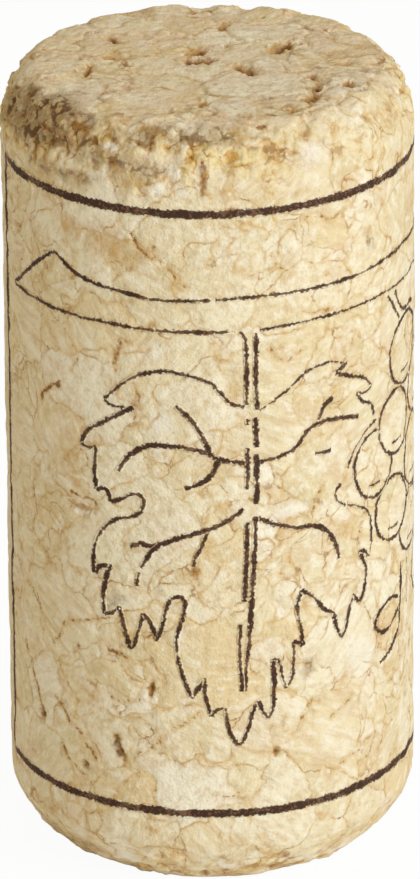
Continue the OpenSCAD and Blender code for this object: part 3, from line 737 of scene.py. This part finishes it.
centred = add(finish, "ShaderNodeVectorMath", {0: random_colour, 1: (0.5,) * 3}, operation="SUBTRACT")
fibre_way = add(finish, "ShaderNodeVectorMath", {0: centred}, operation="NORMALIZE")
along = add(finish, "ShaderNodeVectorMath", {0: place, 1: fibre_way}, operation="DOT_PRODUCT")
shorter = add(finish, "ShaderNodeMath", {0: along, 1: -fibre_squeeze}, operation="MULTIPLY")
pull = add(finish, "ShaderNodeVectorMath", {0: fibre_way, "Scale": shorter}, operation="SCALE")
drawn = add(finish, "ShaderNodeVectorMath", {0: place, 1: pull}, operation="ADD")
growth, grit, clouds, gaps = [
    add(finish, "ShaderNodeTexNoise", {"Vector": at, "Scale": scale, "Detail": detail, "Roughness": rough})
    for at, scale, detail, rough in (
        (drawn, 2.6, 2, 0.6), (place, 6, 2, 0.75), (place, 1.3, 4, 0.6), (place, 0.8, 4, 0.72),
    )
]

# %% Patches of colour, and the insides of pores, with painted shade
# How deep a place lies in a pore, ravelled by the crumbs
ravelled = add(finish, "ShaderNodeMath", {0: crumb, 1: -1.2, 2: 1.6}, operation="MULTIPLY_ADD")
in_pore = add(finish, "ShaderNodeMath", {0: ravelled, 1: masks["pit"]}, operation="MULTIPLY")

# Each: [mask, pattern or size in mm, from, to, share, tone]. The tone covers nothing where the
# pattern is at "from", and its full share where it is at "to".
PATCHES = [
    [None, 6.0, 0.45, 0.62, 0.5, "#e4cf9d"],
    [None, 3.2, 0.50, 0.66, 0.65, "#f8eed0"],
    [None, 2.4, 0.50, 0.68, 0.5, "#e0c397"],
    [None, 1.5, 0.54, 0.70, 0.5, "#d5bd88"],
    [None, growth, 0.50, 0.66, 0.3, "#cdaa76"],
    [None, growth, 0.46, 0.34, 0.5, "#fbf3da"],
    [None, grit, 0.55, 0.72, 0.25, "#c5a774"],
    [None, 1.1, 0.62, 0.72, 0.5, "#c59a5c"],
    ["torn", 1.0, 0.42, 0.56, 0.8, "#e6c679"],
    ["torn", 0.5, 0.54, 0.68, 0.45, "#b08d55"],
    # On torn cork the tone follows the crumbs' height: painted shade in the gaps, ochre and dark brown, and
    # a painted highlight on the crumbs' tops
    ["torn", crumb, 0.59, 0.47, 0.8, "#cf9a45"],
    ["torn", crumb, 0.45, 0.28, 0.9, "#84552a"],
    ["torn", crumb, 0.60, 0.79, 0.55, "#f6e6b0"],
    ["cut_end", 2.6, 0.44, 0.60, 0.45, "#e9ceab"],
    ["cut_end", 1.4, 0.50, 0.62, 0.5, "#f1e2c4"],
    ["cut_end", 0.7, 0.56, 0.64, 0.4, "#c9a878"],
    # Dirt, and painted shade on the chamfers' left side; the last layer also darkens the gaps between
    # crumbs, painted shade
    ["grime", 0.6, 0.20, 0.55, 0.9, "#a3875a"],
    ["grime", 0.8, 0.52, 0.62, 0.6, "#b48d66"],
    ["grime", 0.35, 0.52, 0.64, 0.6, "#d2bd8b"],
    ["grime", 0.45, 0.54, 0.64, 0.7, "#7a5428"],
    ["grime", crumb, 0.56, 0.40, 0.85, "#5d3b1a"],
    ["pale", clouds, 0.2, 0.4, 0.95, "#faf4e0"],
    ["stain", clouds, 0.15, 0.4, 0.9, "#a06a30"],
    ["stain", grit, 0.44, 0.6, 0.75, "#5a3516"],
    ["tan", 0.8, 0.30, 0.60, 0.75, "#cfa76c"],
    ["smudge", 0.5, 0.35, 0.6, 0.85, "#4a3a30"],
    # Inside a pore the tone darkens with depth: partly browner cork, partly painted shade, nearly black in
    # the deepest part
    [None, in_pore, 0.02, 0.2, 0.6, "#c4975a"],
    [None, in_pore, 0.15, 0.45, 0.9, "#84572b"],
    [None, in_pore, 0.45, 0.8, 0.9, "#3a2210"],
]
for mask, pattern, start, end, share, tone in PATCHES:
    if isinstance(pattern, float):
        detail = 4 if pattern > 1 else 2
        drift = {"Vector": place, "Scale": 1 / pattern, "Detail": detail, "Roughness": 0.62}
        pattern = add(finish, "ShaderNodeTexNoise", drift)
    amount = {0: pattern, 1: start, 2: end, 4: share}
    amount = add(finish, "ShaderNodeMapRange", amount, interpolation_type="SMOOTHSTEP")
    if mask:
        amount = add(finish, "ShaderNodeMath", {0: masks[mask], 1: amount}, operation="MULTIPLY")
    colour = add(finish, "ShaderNodeMix", {0: amount, 6: colour, 7: linear(tone)}, data_type="RGBA")
print(f"{len(PATCHES)} layers of tone")

# %% Seams: a broken brown line in a soft ochre one
# Seams that opened are brown all along, and dark where they gape.
OCHRE = "#cfa355"
SEAM = "#a06f35"
DARK_SEAM = "#54301a"

quieter = add(finish, "ShaderNodeMapRange", {0: masks["cut_end"], 3: 1, 4: 0.8})
least_w = add(finish, "ShaderNodeMapRange", {0: masks["cut_end"], 3: -0.06, 4: 0.01})
fine_w = add(finish, "ShaderNodeMath", {0: grit, 1: 0.16, 2: least_w}, operation="MULTIPLY_ADD")
beyond = add(finish, "ShaderNodeMath", {0: seam, 1: fine_w}, operation="SUBTRACT")
gape = add(finish, "ShaderNodeMath", {0: grit, 1: 0.34, 2: masks["open_seam"]}, operation="MULTIPLY_ADD")

dots = add(finish, "ShaderNodeMapRange", {0: gaps, 1: 0.56, 2: 0.64})
specks = add(finish, "ShaderNodeMapRange", {0: grit, 1: 0.52, 2: 0.64, 4: 0.9})
dots = add(finish, "ShaderNodeMath", {0: dots, 1: specks}, operation="MULTIPLY")
open_dark = add(finish, "ShaderNodeMapRange", {0: gape, 1: 0.97, 2: 1.1})
dark = add(finish, "ShaderNodeMath", {0: dots, 1: open_dark}, operation="MAXIMUM")
brown = add(finish, "ShaderNodeMix", {0: dark, 6: linear(SEAM), 7: linear(DARK_SEAM)}, data_type="RGBA")

# Each: the distance that it fades with, how far it reaches, its share on whole seams and on open
# ones (pattern, from, to, least, most), and its tone
for distance, reach, on_whole, on_open, tone in (
    (seam, 0.2, (clouds, 0.4, 0.62, 0.1, 0.7), (gape, 0.55, 0.95, 0, 0.45), linear(OCHRE)),
    (beyond, 0.035, (gaps, 0.48, 0.63, 0, 0.65), (gape, 0.88, 0.98, 0, 0.85), brown),
):
    near = add(finish, "ShaderNodeMapRange", {0: distance, 2: reach, 3: 1, 4: 0})
    share = add(finish, "ShaderNodeMapRange", dict(enumerate(on_whole)))
    share = add(finish, "ShaderNodeMath", {0: share, 1: quieter}, operation="MULTIPLY")
    share = add(finish, "ShaderNodeMath", {0: near, 1: share}, operation="MULTIPLY")
    opened = add(finish, "ShaderNodeMapRange", dict(enumerate(on_open)))
    share = add(finish, "ShaderNodeMath", {0: share, 1: opened}, operation="MAXIMUM")
    colour = add(finish, "ShaderNodeMix", {0: share, 6: colour, 7: tone}, data_type="RGBA")

# %% Bump and roughness
grit_bump, end_grit_bump = 0.024, 0.018
growth_bump = -0.05
cloud_bump = 0.24
crumb_bump = 0.12

grit_depth = add(finish, "ShaderNodeMapRange", {0: masks["cut_end"], 3: grit_bump, 4: end_grit_bump})
height = add(finish, "ShaderNodeMath", {0: grit, 1: grit_depth}, operation="MULTIPLY")
crumbly = add(finish, "ShaderNodeMath", {0: crumb, 1: masks["torn"]}, operation="MULTIPLY")
for pattern, size in ((growth, growth_bump), (clouds, cloud_bump), (crumbly, crumb_bump)):
    height = add(finish, "ShaderNodeMath", {0: pattern, 1: size, 2: height}, operation="MULTIPLY_ADD")
bump = add(finish, "ShaderNodeBump", {"Height": height, "Distance": MM})
dry = add(finish, "ShaderNodeMapRange", {0: clouds, 1: 0.3, 2: 0.7, 3: 0.72, 4: 0.9})
add(finish, "NodeGroupOutput", {"Colour": colour, "Roughness": dry, "Normal": bump})


# %% Materials
faint_gloss = 0.25


def principled(name):
    """A material with its Principled shader, and the cork's finish ready to link."""
    material = bpy.data.materials.new(name)
    material.use_nodes = True
    tree = material.node_tree
    shader = tree.nodes["Principled BSDF"]
    bare = add(tree, "ShaderNodeGroup", node_tree=finish)
    tree.links.new(bare.outputs["Roughness"], shader.inputs["Roughness"])
    tree.links.new(bare.outputs["Normal"], shader.inputs["Normal"])
    shader.inputs["Specular IOR Level"].default_value = faint_gloss
    return material, tree, shader, bare


bare_cork, tree, shader, bare = principled("bare_cut_cork")
tree.links.new(bare.outputs["Colour"], shader.inputs["Base Color"])
cork.data.materials.append(bare_cork)

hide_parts("cork")
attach(cork, "root")

# %% [markdown]
# ## The print
#
# The print is a ruled frame round a vine cane with a leaf and a bunch of
# grapes, a common ornament on corks. A rubber stamp rolls over the cork, so
# each line is broad and black where the granule stood proud, and thin or
# missing where it lay low. Each line is a narrow ribbon along a smooth curve,
# dropped on the relief by rays cast from outside. It is wider than its ink, so
# that the ink's edge can ravel within it.

# %% Strokes
HEAVY, PLAIN, FINE = 1.25, 1.0, 0.65
line_width = 0.2
frame_line_w = 0.43
frame_left, frame_right = -15, 31
frame_base = 4.82
frame_top = cork_l - 4.16

# Each stroke: a weight, and then the points, [along, height], that its curve runs through
leaf_left_edge = [
    [PLAIN, [1.85, 28.65], [1.1, 28.9], [0.5, 29.6], [0, 30.15], [-1.2, 30.5], [-2.4, 30.68], [-3.6, 30.4],
        [-4.6, 29.8], [-5.3, 29.15], [-5.85, 28.62]],
    [FINE, [-5.85, 28.55], [-5.4, 28.35], [-4.2, 28.35]],
    [HEAVY, [-4.15, 28.4], [-5.1, 27.8], [-6.2, 27.1], [-6.95, 26.5], [-7.4, 25.72]],
    [PLAIN, [-7.4, 25.66], [-6.9, 25.58], [-6.4, 25.7]],
    [HEAVY, [-6.42, 25.7], [-6.45, 25.1], [-6.5, 24.3], [-6.38, 23.3]],
    [PLAIN, [-6.4, 23.25], [-5.95, 23.45], [-5.7, 23.3], [-5.5, 22.75]],
    [PLAIN, [-5.5, 22.75], [-4.8, 23.05], [-4.1, 23.45], [-3.6, 23.2], [-3.75, 22.5], [-4.3, 22.1],
        [-5.1, 21.85], [-5.9, 21.2], [-6.4, 20.4], [-6.62, 19.4], [-6.6, 18.4]],
    [PLAIN, [-6.55, 18.4], [-6.2, 18.85], [-5.5, 19]],
    [HEAVY, [-5.55, 19], [-5.85, 18.3], [-6.02, 17.3], [-5.98, 16.15]],
    [PLAIN, [-5.95, 16.15], [-5.5, 16.3], [-5.1, 16.75]],
    [HEAVY, [-5.1, 16.75], [-4.85, 15.7], [-4.55, 14.6]],
    [PLAIN, [-4.6, 14.55], [-4.3, 14.45], [-4.05, 15.3], [-3.7, 16.55]],
    [PLAIN, [-3.7, 16.55], [-3.3, 16.1], [-2.95, 15.05]],
    [PLAIN, [-2.98, 15.05], [-2.65, 15.9], [-2.35, 17.2], [-1.9, 17.75], [-1.4, 17.5], [-1.5, 16.6],
        [-1.85, 15.3], [-1.8, 14.2], [-1.5, 13], [-1.1, 11.9]],
    [HEAVY, [-1.1, 11.85], [-0.8, 12.3], [-0.35, 13.05]],
    [PLAIN, [-0.35, 13.05], [-0.35, 12], [-0.05, 10.8]],
    [PLAIN, [-0.05, 10.8], [0.3, 11.2], [0.72, 11.25]],
    [PLAIN, [0.72, 11.25], [0.9, 10], [1.45, 9.05], [1.95, 9.95], [2.15, 10.8], [2.5, 11.5]],
]
leaf_right_edge = [
    [PLAIN, [2.5, 11.5], [2.8, 10.8], [3.1, 10.5], [3.35, 11.2]],
    [HEAVY, [3.35, 11.15], [3.38, 12.4], [3.35, 13.9]],
    [FINE, [3.38, 13.9], [3.65, 13.7], [3.85, 12.7], [4.1, 12.05]],
    [PLAIN, [4.1, 12.05], [4.45, 12.9], [4.5, 14.7]],
    [PLAIN, [4.5, 14.7], [4.75, 14.6], [5.05, 14.35]],
    [PLAIN, [5.05, 14.35], [4.95, 15.4], [4.72, 16.6], [5, 17.6]],
    [PLAIN, [5, 17.6], [5.7, 17.05], [6.3, 16.3], [7, 15.8]],
    [PLAIN, [7, 15.85], [7.15, 15], [7.45, 14.3], [7.75, 14.7], [8, 15.7], [8.35, 16.5]],
    [PLAIN, [8.35, 16.5], [8.85, 15.95], [9.2, 16.4], [9.4, 17.6], [8.85, 18.9]],
    [PLAIN, [8.85, 18.9], [9.2, 18.75], [9.62, 18.3]],
    [FINE, [9.62, 18.3], [9.78, 19.4], [9.55, 20.9], [8.6, 21.6], [7.5, 22.05], [7.1, 22.7], [7.5, 23.2]],
    [FINE, [2.65, 28.4], [3.6, 28.95], [4.7, 29.75], [5.6, 30.3], [6.8, 30.38], [7.95, 30]],
    [HEAVY, [7.95, 30], [7.2, 29.7]],
    [PLAIN, [7.2, 29.65], [8.2, 29.2], [9.2, 28.8], [9.85, 28.15]],
    [PLAIN, [9.85, 28.1], [9.3, 27.92], [8.65, 28.05]],
    [PLAIN, [8.65, 28], [9.1, 27.5], [9.8, 27.1], [10.1, 26.4]],
]
leaf_veins = [
    [HEAVY, [-1.8, 28.75], [-0.95, 27.95], [-0.4, 27], [0, 26.1]],
    [HEAVY, [-5.05, 24.65], [-4.4, 25.6], [-3.2, 26.35], [-1.7, 26.4], [-0.2, 26.08], [0.5, 25.7],
        [1.85, 25.42]],
    [HEAVY, [0.45, 25.65], [0.1, 24.85], [-0.5, 24.35], [-1.35, 24]],
    [HEAVY, [2.6, 25.42], [3.6, 25.6], [4.6, 25.95], [5.3, 26.7], [6.1, 27.08], [7.4, 27.02], [8.8, 26.7]],
    [PLAIN, [6.05, 27.25], [6.4, 27.95], [7, 28.3]],
    [PLAIN, [5.8, 25.42], [6.3, 25.36], [6.8, 25.4]],
    [HEAVY, [1.75, 22.8], [1, 22.2], [-0.2, 21.65], [-1.7, 21.15], [-3, 20.62], [-3.8, 20.62],
        [-4.4, 20.35]],
    [PLAIN, [-2.7, 20.75], [-3.2, 20.2], [-3.45, 19.8], [-3.8, 19.2]],
    [PLAIN, [-0.15, 21.65], [-0.4, 20.9], [-0.75, 20.2], [-0.95, 19.5]],
    [PLAIN, [-3.9, 18.9], [-4.02, 18.5], [-4.05, 18.1]],
    [HEAVY, [2.55, 22.2], [3.4, 21.75], [4.6, 21.35], [5.8, 21.2], [6.5, 20.75], [7.1, 19.9], [7.35, 18.9]],
]
stalk = [
    [PLAIN, [1.6, 32.92], [1.87, 32.65], [1.93, 32], [1.95, 30.4], [1.95, 28.75]],
    [HEAVY, [2.5, 32.8], [2.45, 31.6], [2.45, 30], [2.52, 28.45]],
    [HEAVY, [2.4, 28], [2.45, 27.2], [2.48, 26.3]],
    [PLAIN, [2, 27.95], [2, 27.6]],
    [PLAIN, [2, 26.3], [2, 25.2], [1.95, 23.9]],
    [HEAVY, [2.48, 25.9], [2.48, 24.4], [2.45, 23]],
    [HEAVY, [1.95, 22], [1.9, 20], [1.78, 17.4]],
    [HEAVY, [2.42, 22.3], [2.35, 20.5], [2.22, 18], [2.1, 16], [1.9, 14], [1.72, 12.2]],
    [PLAIN, [1.55, 16.1], [1.5, 14.4], [1.62, 12.2]],
]
# The cane's two lines, broken where the print skipped
cane = [
    [PLAIN, [-13.2, 33.05], [-12, 33.95], [-11, 34.85], [-10, 35.6], [-9.2, 36.1], [-8.4, 35.75],
        [-7.5, 35.35], [-6, 35.05], [-4.4, 34.9], [-2.9, 34.7], [-1.5, 34.72], [0.1, 34.8]],
    [PLAIN, [-13.15, 33], [-11, 32.95], [-8, 32.95], [-5.5, 33.02], [-2.9, 32.95], [1.35, 32.97]],
    [PLAIN, [0.35, 34.8], [2.5, 34.86], [8.2, 34.84], [14, 35], [19.6, 34.85], [23, 34.9], [26.5, 34.7],
        [28.4, 34.75], [28.7, 33.9], [28.4, 33]],
    [FINE, [2.7, 32.98], [5, 33.05], [11.4, 33.05], [15, 33.05], [20, 33], [23, 33.05], [28.4, 33]],
]
# The bunch's stalk, the line beside its first grape and its tendril
bunch_lines = [
    [PLAIN, [11.35, 32.75], [12, 31.9], [12.7, 31]],
    [PLAIN, [12.2, 32.75], [12.7, 31.8], [13.3, 31.3], [14.2, 31.25], [15.4, 31]],
    [FINE, [8, 23.95], [8.5, 24.85], [9.3, 25.6], [10.3, 26.05]],
    [PLAIN, [13.05, 16.6], [13.1, 15.5], [12.95, 14.2], [12.85, 13.2], [12.2, 12.4], [11.4, 11.9],
        [10.65, 11.65]],
    [PLAIN, [12.7, 14.75], [11.9, 15.02], [11.1, 14.95], [10.4, 14.4], [10.3, 13.8], [10.9, 13.35],
        [11.8, 13.5], [12.8, 14.05]],
    [FINE, [14.25, 16.4], [14.1, 15.2], [14.2, 13.8]],
]
# Grapes: [middle along the wall, middle height, half width, half height]
grapes = [
    [13.75, 28.95, 2.1, 2], [12.35, 25.2, 1.8, 1.8], [10.15, 23.5, 1.65, 1.9],
    [12, 20.3, 1.85, 1.8], [14.75, 18.6, 2, 1.75], [15.6, 22.4, 2.1, 2.05],
    [16.3, 26.1, 1.9, 1.8], [18.1, 29.2, 2, 1.9], [19.2, 24.6, 1.8, 1.9],
    [18.6, 20.3, 1.75, 1.8], [17.3, 15.2, 1.7, 1.7],
]
oval_steps = 60
shortest_run = 4

# The dash of shade in a grape: how far below its middle, how long, and how much it sags
shade_drop = 0.6
shade_share = 0.3
shade_sag = 0.05


# %% Grapes, each hiding what lies behind it
def oval(g):
    """The outline of a grape, closed."""
    turns = [math.tau * k / oval_steps for k in range(oval_steps + 1)]
    return [Vector((g[0] + g[2] * math.cos(t), g[1] + g[3] * math.sin(t))) for t in turns]


def hidden(q, nearer):
    """True if the point lies behind one of the nearer grapes."""
    return any(((q.x - g[0]) / g[2]) ** 2 + ((q.y - g[1]) / g[3]) ** 2 < 1 for g in nearer)


def shown_runs(points, nearer):
    """The stretches of a line that no nearer grape hides."""
    for behind, run in itertools.groupby(points, lambda q: hidden(q, nearer)):
        run = list(run)
        if not behind and len(run) > shortest_run:
            yield run


# %% Every line of the print, as (width, evenly spaced points)
inked = []
for group in (leaf_left_edge, leaf_right_edge, leaf_veins, stalk, cane, bunch_lines):
    inked += [(weight * line_width, even_curve(points)) for weight, *points in group]
for i, g in enumerate(grapes):
    for run in shown_runs(even_steps(oval(g)), grapes[:i]):
        inked.append((line_width, run))
    dash, low = g[2] * shade_share, g[1] - g[3] * shade_drop
    shade = [(g[0] - dash, low), (g[0], low - shade_sag), (g[0] + dash, low)]
    inked.append((FINE * line_width, even_curve(shade)))
half_line = frame_line_w / 2
left, right = frame_left + half_line, frame_right - half_line
low, high = frame_base + half_line, frame_top - half_line
for a, b in (
    ((frame_left, low), (frame_right, low)), ((frame_left, high), (frame_right, high)),
    ((left, frame_base), (left, frame_top)), ((right, frame_base), (right, frame_top)),
):
    inked.append((frame_line_w, even_steps([Vector(a), Vector(b)])))
print(f"{len(inked)} lines, {sum(len(points) for _, points in inked)} columns of faces")

# %% Ribbons laid on the relief
across = 4
fringe = 0.07            # bare cork beside the line, on each side
ink_lift = 0.012         # of the ribbon above the relief
layer_lift = 0.001       # more for each layer, so that crossing ribbons don't flicker
layers = 7
ink_film = 0.05
reach_out = 1.0          # how far outside the wall a ray starts

surface = BVHTree.FromObject(cork, bpy.context.evaluated_depsgraph_get())
bm = bmesh.new()
depth_layer = bm.verts.layers.float.new("inside")
for index, (width, points) in enumerate(inked):
    closed = (points[0] - points[-1]).length < column_pitch
    made = bmesh.ops.create_grid(bm, x_segments=across, y_segments=len(points) - 1, size=1)["verts"]
    lift = ink_lift + layer_lift * (index % layers)
    for i, q in enumerate(points):
        run = (points[min(i + 1, len(points) - 1)] - points[max(i - 1, 0)]).normalized()
        side = Vector((-run.y, run.x))
        taper = 1 if closed else smoothstep(-2.5, 1, min(i, len(points) - 1 - i))
        for j in range(across + 1):
            share = 2 * j / across - 1
            off = share * (taper * width / 2 + fringe)
            spot = q + side * off
            outside = on_wall(spot.x, spot.y)
            outward = ahead(spot.x / cork_r)
            start = (outside + outward * reach_out) * MM
            hit = surface.ray_cast(start, -outward)[0]
            v = made[i * (across + 1) + j]
            v.co = hit + outward * lift * MM
            v[depth_layer] = taper * width / 2 - abs(off)
bm.normal_update()
inward = [f for f in bm.faces if f.normal.xy.dot(f.calc_center_median().xy) < 0]
bmesh.ops.reverse_faces(bm, faces=inward)
print(f"{len(bm.faces)} faces in the ribbons, {len(inward)} turned round")
vine_print = new_piece("inked_lines", bm)
vine_print.data.shade_smooth()
thick = vine_print.modifiers.new("Ink film", "SOLIDIFY")
thick.thickness = ink_film * MM
thick.offset = -1
apply_modifiers(vine_print)
print(f"the ink has {len(vine_print.data.polygons)} faces")

# %% [markdown]
# ## Finish: stamped ink
#
# The ink is a thin, dark brown marking ink. It has no body of its own: it sinks
# in and leaves the cork's grain to show, and it is patchy at the scale of the
# cork's cells, about a tenth of a millimetre.

# %% Ink colours
INK = "#452c1c"
WORN_INK = "#85664a"
# How far, in millimetres, each of two noises moves the ink's edge
ravel = 0.3

stamped_ink, tree, shader, bare = principled("stamped_brown_ink")
here = add(tree, "ShaderNodeTexCoord").outputs["Object"]
place = add(tree, "ShaderNodeVectorMath", {0: here, "Scale": 1 / MM}, operation="SCALE")
inside = add(tree, "ShaderNodeAttribute", attribute_name="inside").outputs["Fac"]
cells = add(tree, "ShaderNodeTexNoise", {"Vector": place, "Scale": 6, "Detail": 1, "Roughness": 0.6})
blots = add(tree, "ShaderNodeTexNoise", {"Vector": place, "Scale": 0.9, "Detail": 3, "Roughness": 0.7})
reach = add(tree, "ShaderNodeMath", {0: cells, 1: ravel, 2: -ravel}, operation="MULTIPLY_ADD")
reach = add(tree, "ShaderNodeMath", {0: blots, 1: ravel, 2: reach}, operation="MULTIPLY_ADD")
over = add(tree, "ShaderNodeMath", {0: reach, 1: inside}, operation="ADD")
ink = add(tree, "ShaderNodeMapRange", {0: over, 1: -0.035, 2: 0.03})
thin = add(tree, "ShaderNodeMath", {0: cells, 1: blots}, operation="SUBTRACT")
worn = add(tree, "ShaderNodeMapRange", {0: thin, 1: -0.03, 2: 0.2, 4: 0.75})
tone = add(tree, "ShaderNodeMix", {0: worn, 6: linear(INK), 7: linear(WORN_INK)}, data_type="RGBA")
printed = add(tree, "ShaderNodeMix", {0: ink, 6: bare.outputs["Colour"], 7: tone}, data_type="RGBA")
tree.links.new(printed.outputs[2], shader.inputs["Base Color"])
vine_print.data.materials.append(stamped_ink)

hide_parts("vine_print")
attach(vine_print, "root")

# %% [markdown]
# ## Studio
#
# A plain pale floor, a large soft lamp low at the right and an even white
# surround. The camera is about half a metre away with a long lens, and looks
# down by a little more than twenty degrees.

# %% Floor
floor_half = 1.5
paper_glow = 0.95

bm = bmesh.new()
bmesh.ops.create_grid(bm, x_segments=1, y_segments=1, size=floor_half)
floor = new_piece("floor", bm)
paper = bpy.data.materials.new("white_paper")
paper.use_nodes = True
tree = paper.node_tree
matt = tree.nodes["Principled BSDF"]
matt.inputs["Base Color"].default_value = linear("#ffffff")
matt.inputs["Roughness"].default_value = 0.9
glowing = add(tree, "ShaderNodeEmission")
rays = add(tree, "ShaderNodeLightPath").outputs["Is Camera Ray"]
share = add(tree, "ShaderNodeMath", {0: rays, 1: paper_glow}, operation="MULTIPLY")
mixed = add(tree, "ShaderNodeMixShader", {0: share, 1: matt, 2: glowing})
tree.links.new(mixed.outputs[0], tree.nodes["Material Output"].inputs["Surface"])
floor.data.materials.append(paper)

# %% World
surround_strength = 0.49

world = bpy.data.worlds.new("white surround")
world.use_nodes = True
tree = world.node_tree
lit = tree.nodes["Background"]
lit.inputs["Color"].default_value = linear("#fff3dd")
lit.inputs["Strength"].default_value = surround_strength
seen = add(tree, "ShaderNodeBackground", {"Color": linear("#ffffff")})
rays = add(tree, "ShaderNodeLightPath").outputs
direct = add(tree, "ShaderNodeMath", {0: rays["Is Camera Ray"], 1: rays["Is Glossy Ray"]}, operation="ADD")
mixed = add(tree, "ShaderNodeMixShader", {0: direct, 1: lit, 2: seen})
tree.links.new(mixed.outputs[0], tree.nodes["World Output"].inputs["Surface"])
bpy.context.scene.world = world


# %% Lamp and camera
middle = Vector((0, 0, cork_l / 2)) * MM


def look_at_middle(thing, azimuth, elevation, distance, roll=0.0):
    """Places a lamp or camera that faces the cork; azimuth 0 is in front, and it grows to the right."""
    level = math.cos(elevation)
    way = Vector((math.sin(azimuth) * level, -math.cos(azimuth) * level, math.sin(elevation)))
    thing.location = middle + way * distance
    turn = way.to_track_quat("Z", "Y") @ Quaternion((0, 0, 1), roll)
    thing.rotation_euler = turn.to_euler()
    bpy.context.scene.collection.objects.link(thing)


key = bpy.data.objects.new("key", bpy.data.lights.new("key", "AREA"))
key.data.size = 0.35
key.data.energy = 2.55
key.data.color = linear("#e4edff")[:3]
look_at_middle(key, azimuth=math.radians(46), elevation=math.radians(28), distance=0.6)

focal_pixels = 8905
frame_pixels = 879
axis_pixel = 441.1

camera = bpy.data.objects.new("camera", bpy.data.cameras.new("camera"))
look_at_middle(camera, azimuth=0, elevation=0.411, distance=0.48, roll=-0.008)
bpy.context.scene.camera = camera
camera.data.sensor_fit = "VERTICAL"
camera.data.sensor_height = 36
camera.data.lens = focal_pixels / frame_pixels * camera.data.sensor_height
camera.data.shift_y = (axis_pixel - frame_pixels / 2) / frame_pixels
camera.data.clip_start = 0.01
bpy.context.scene.view_settings.view_transform = "Standard"
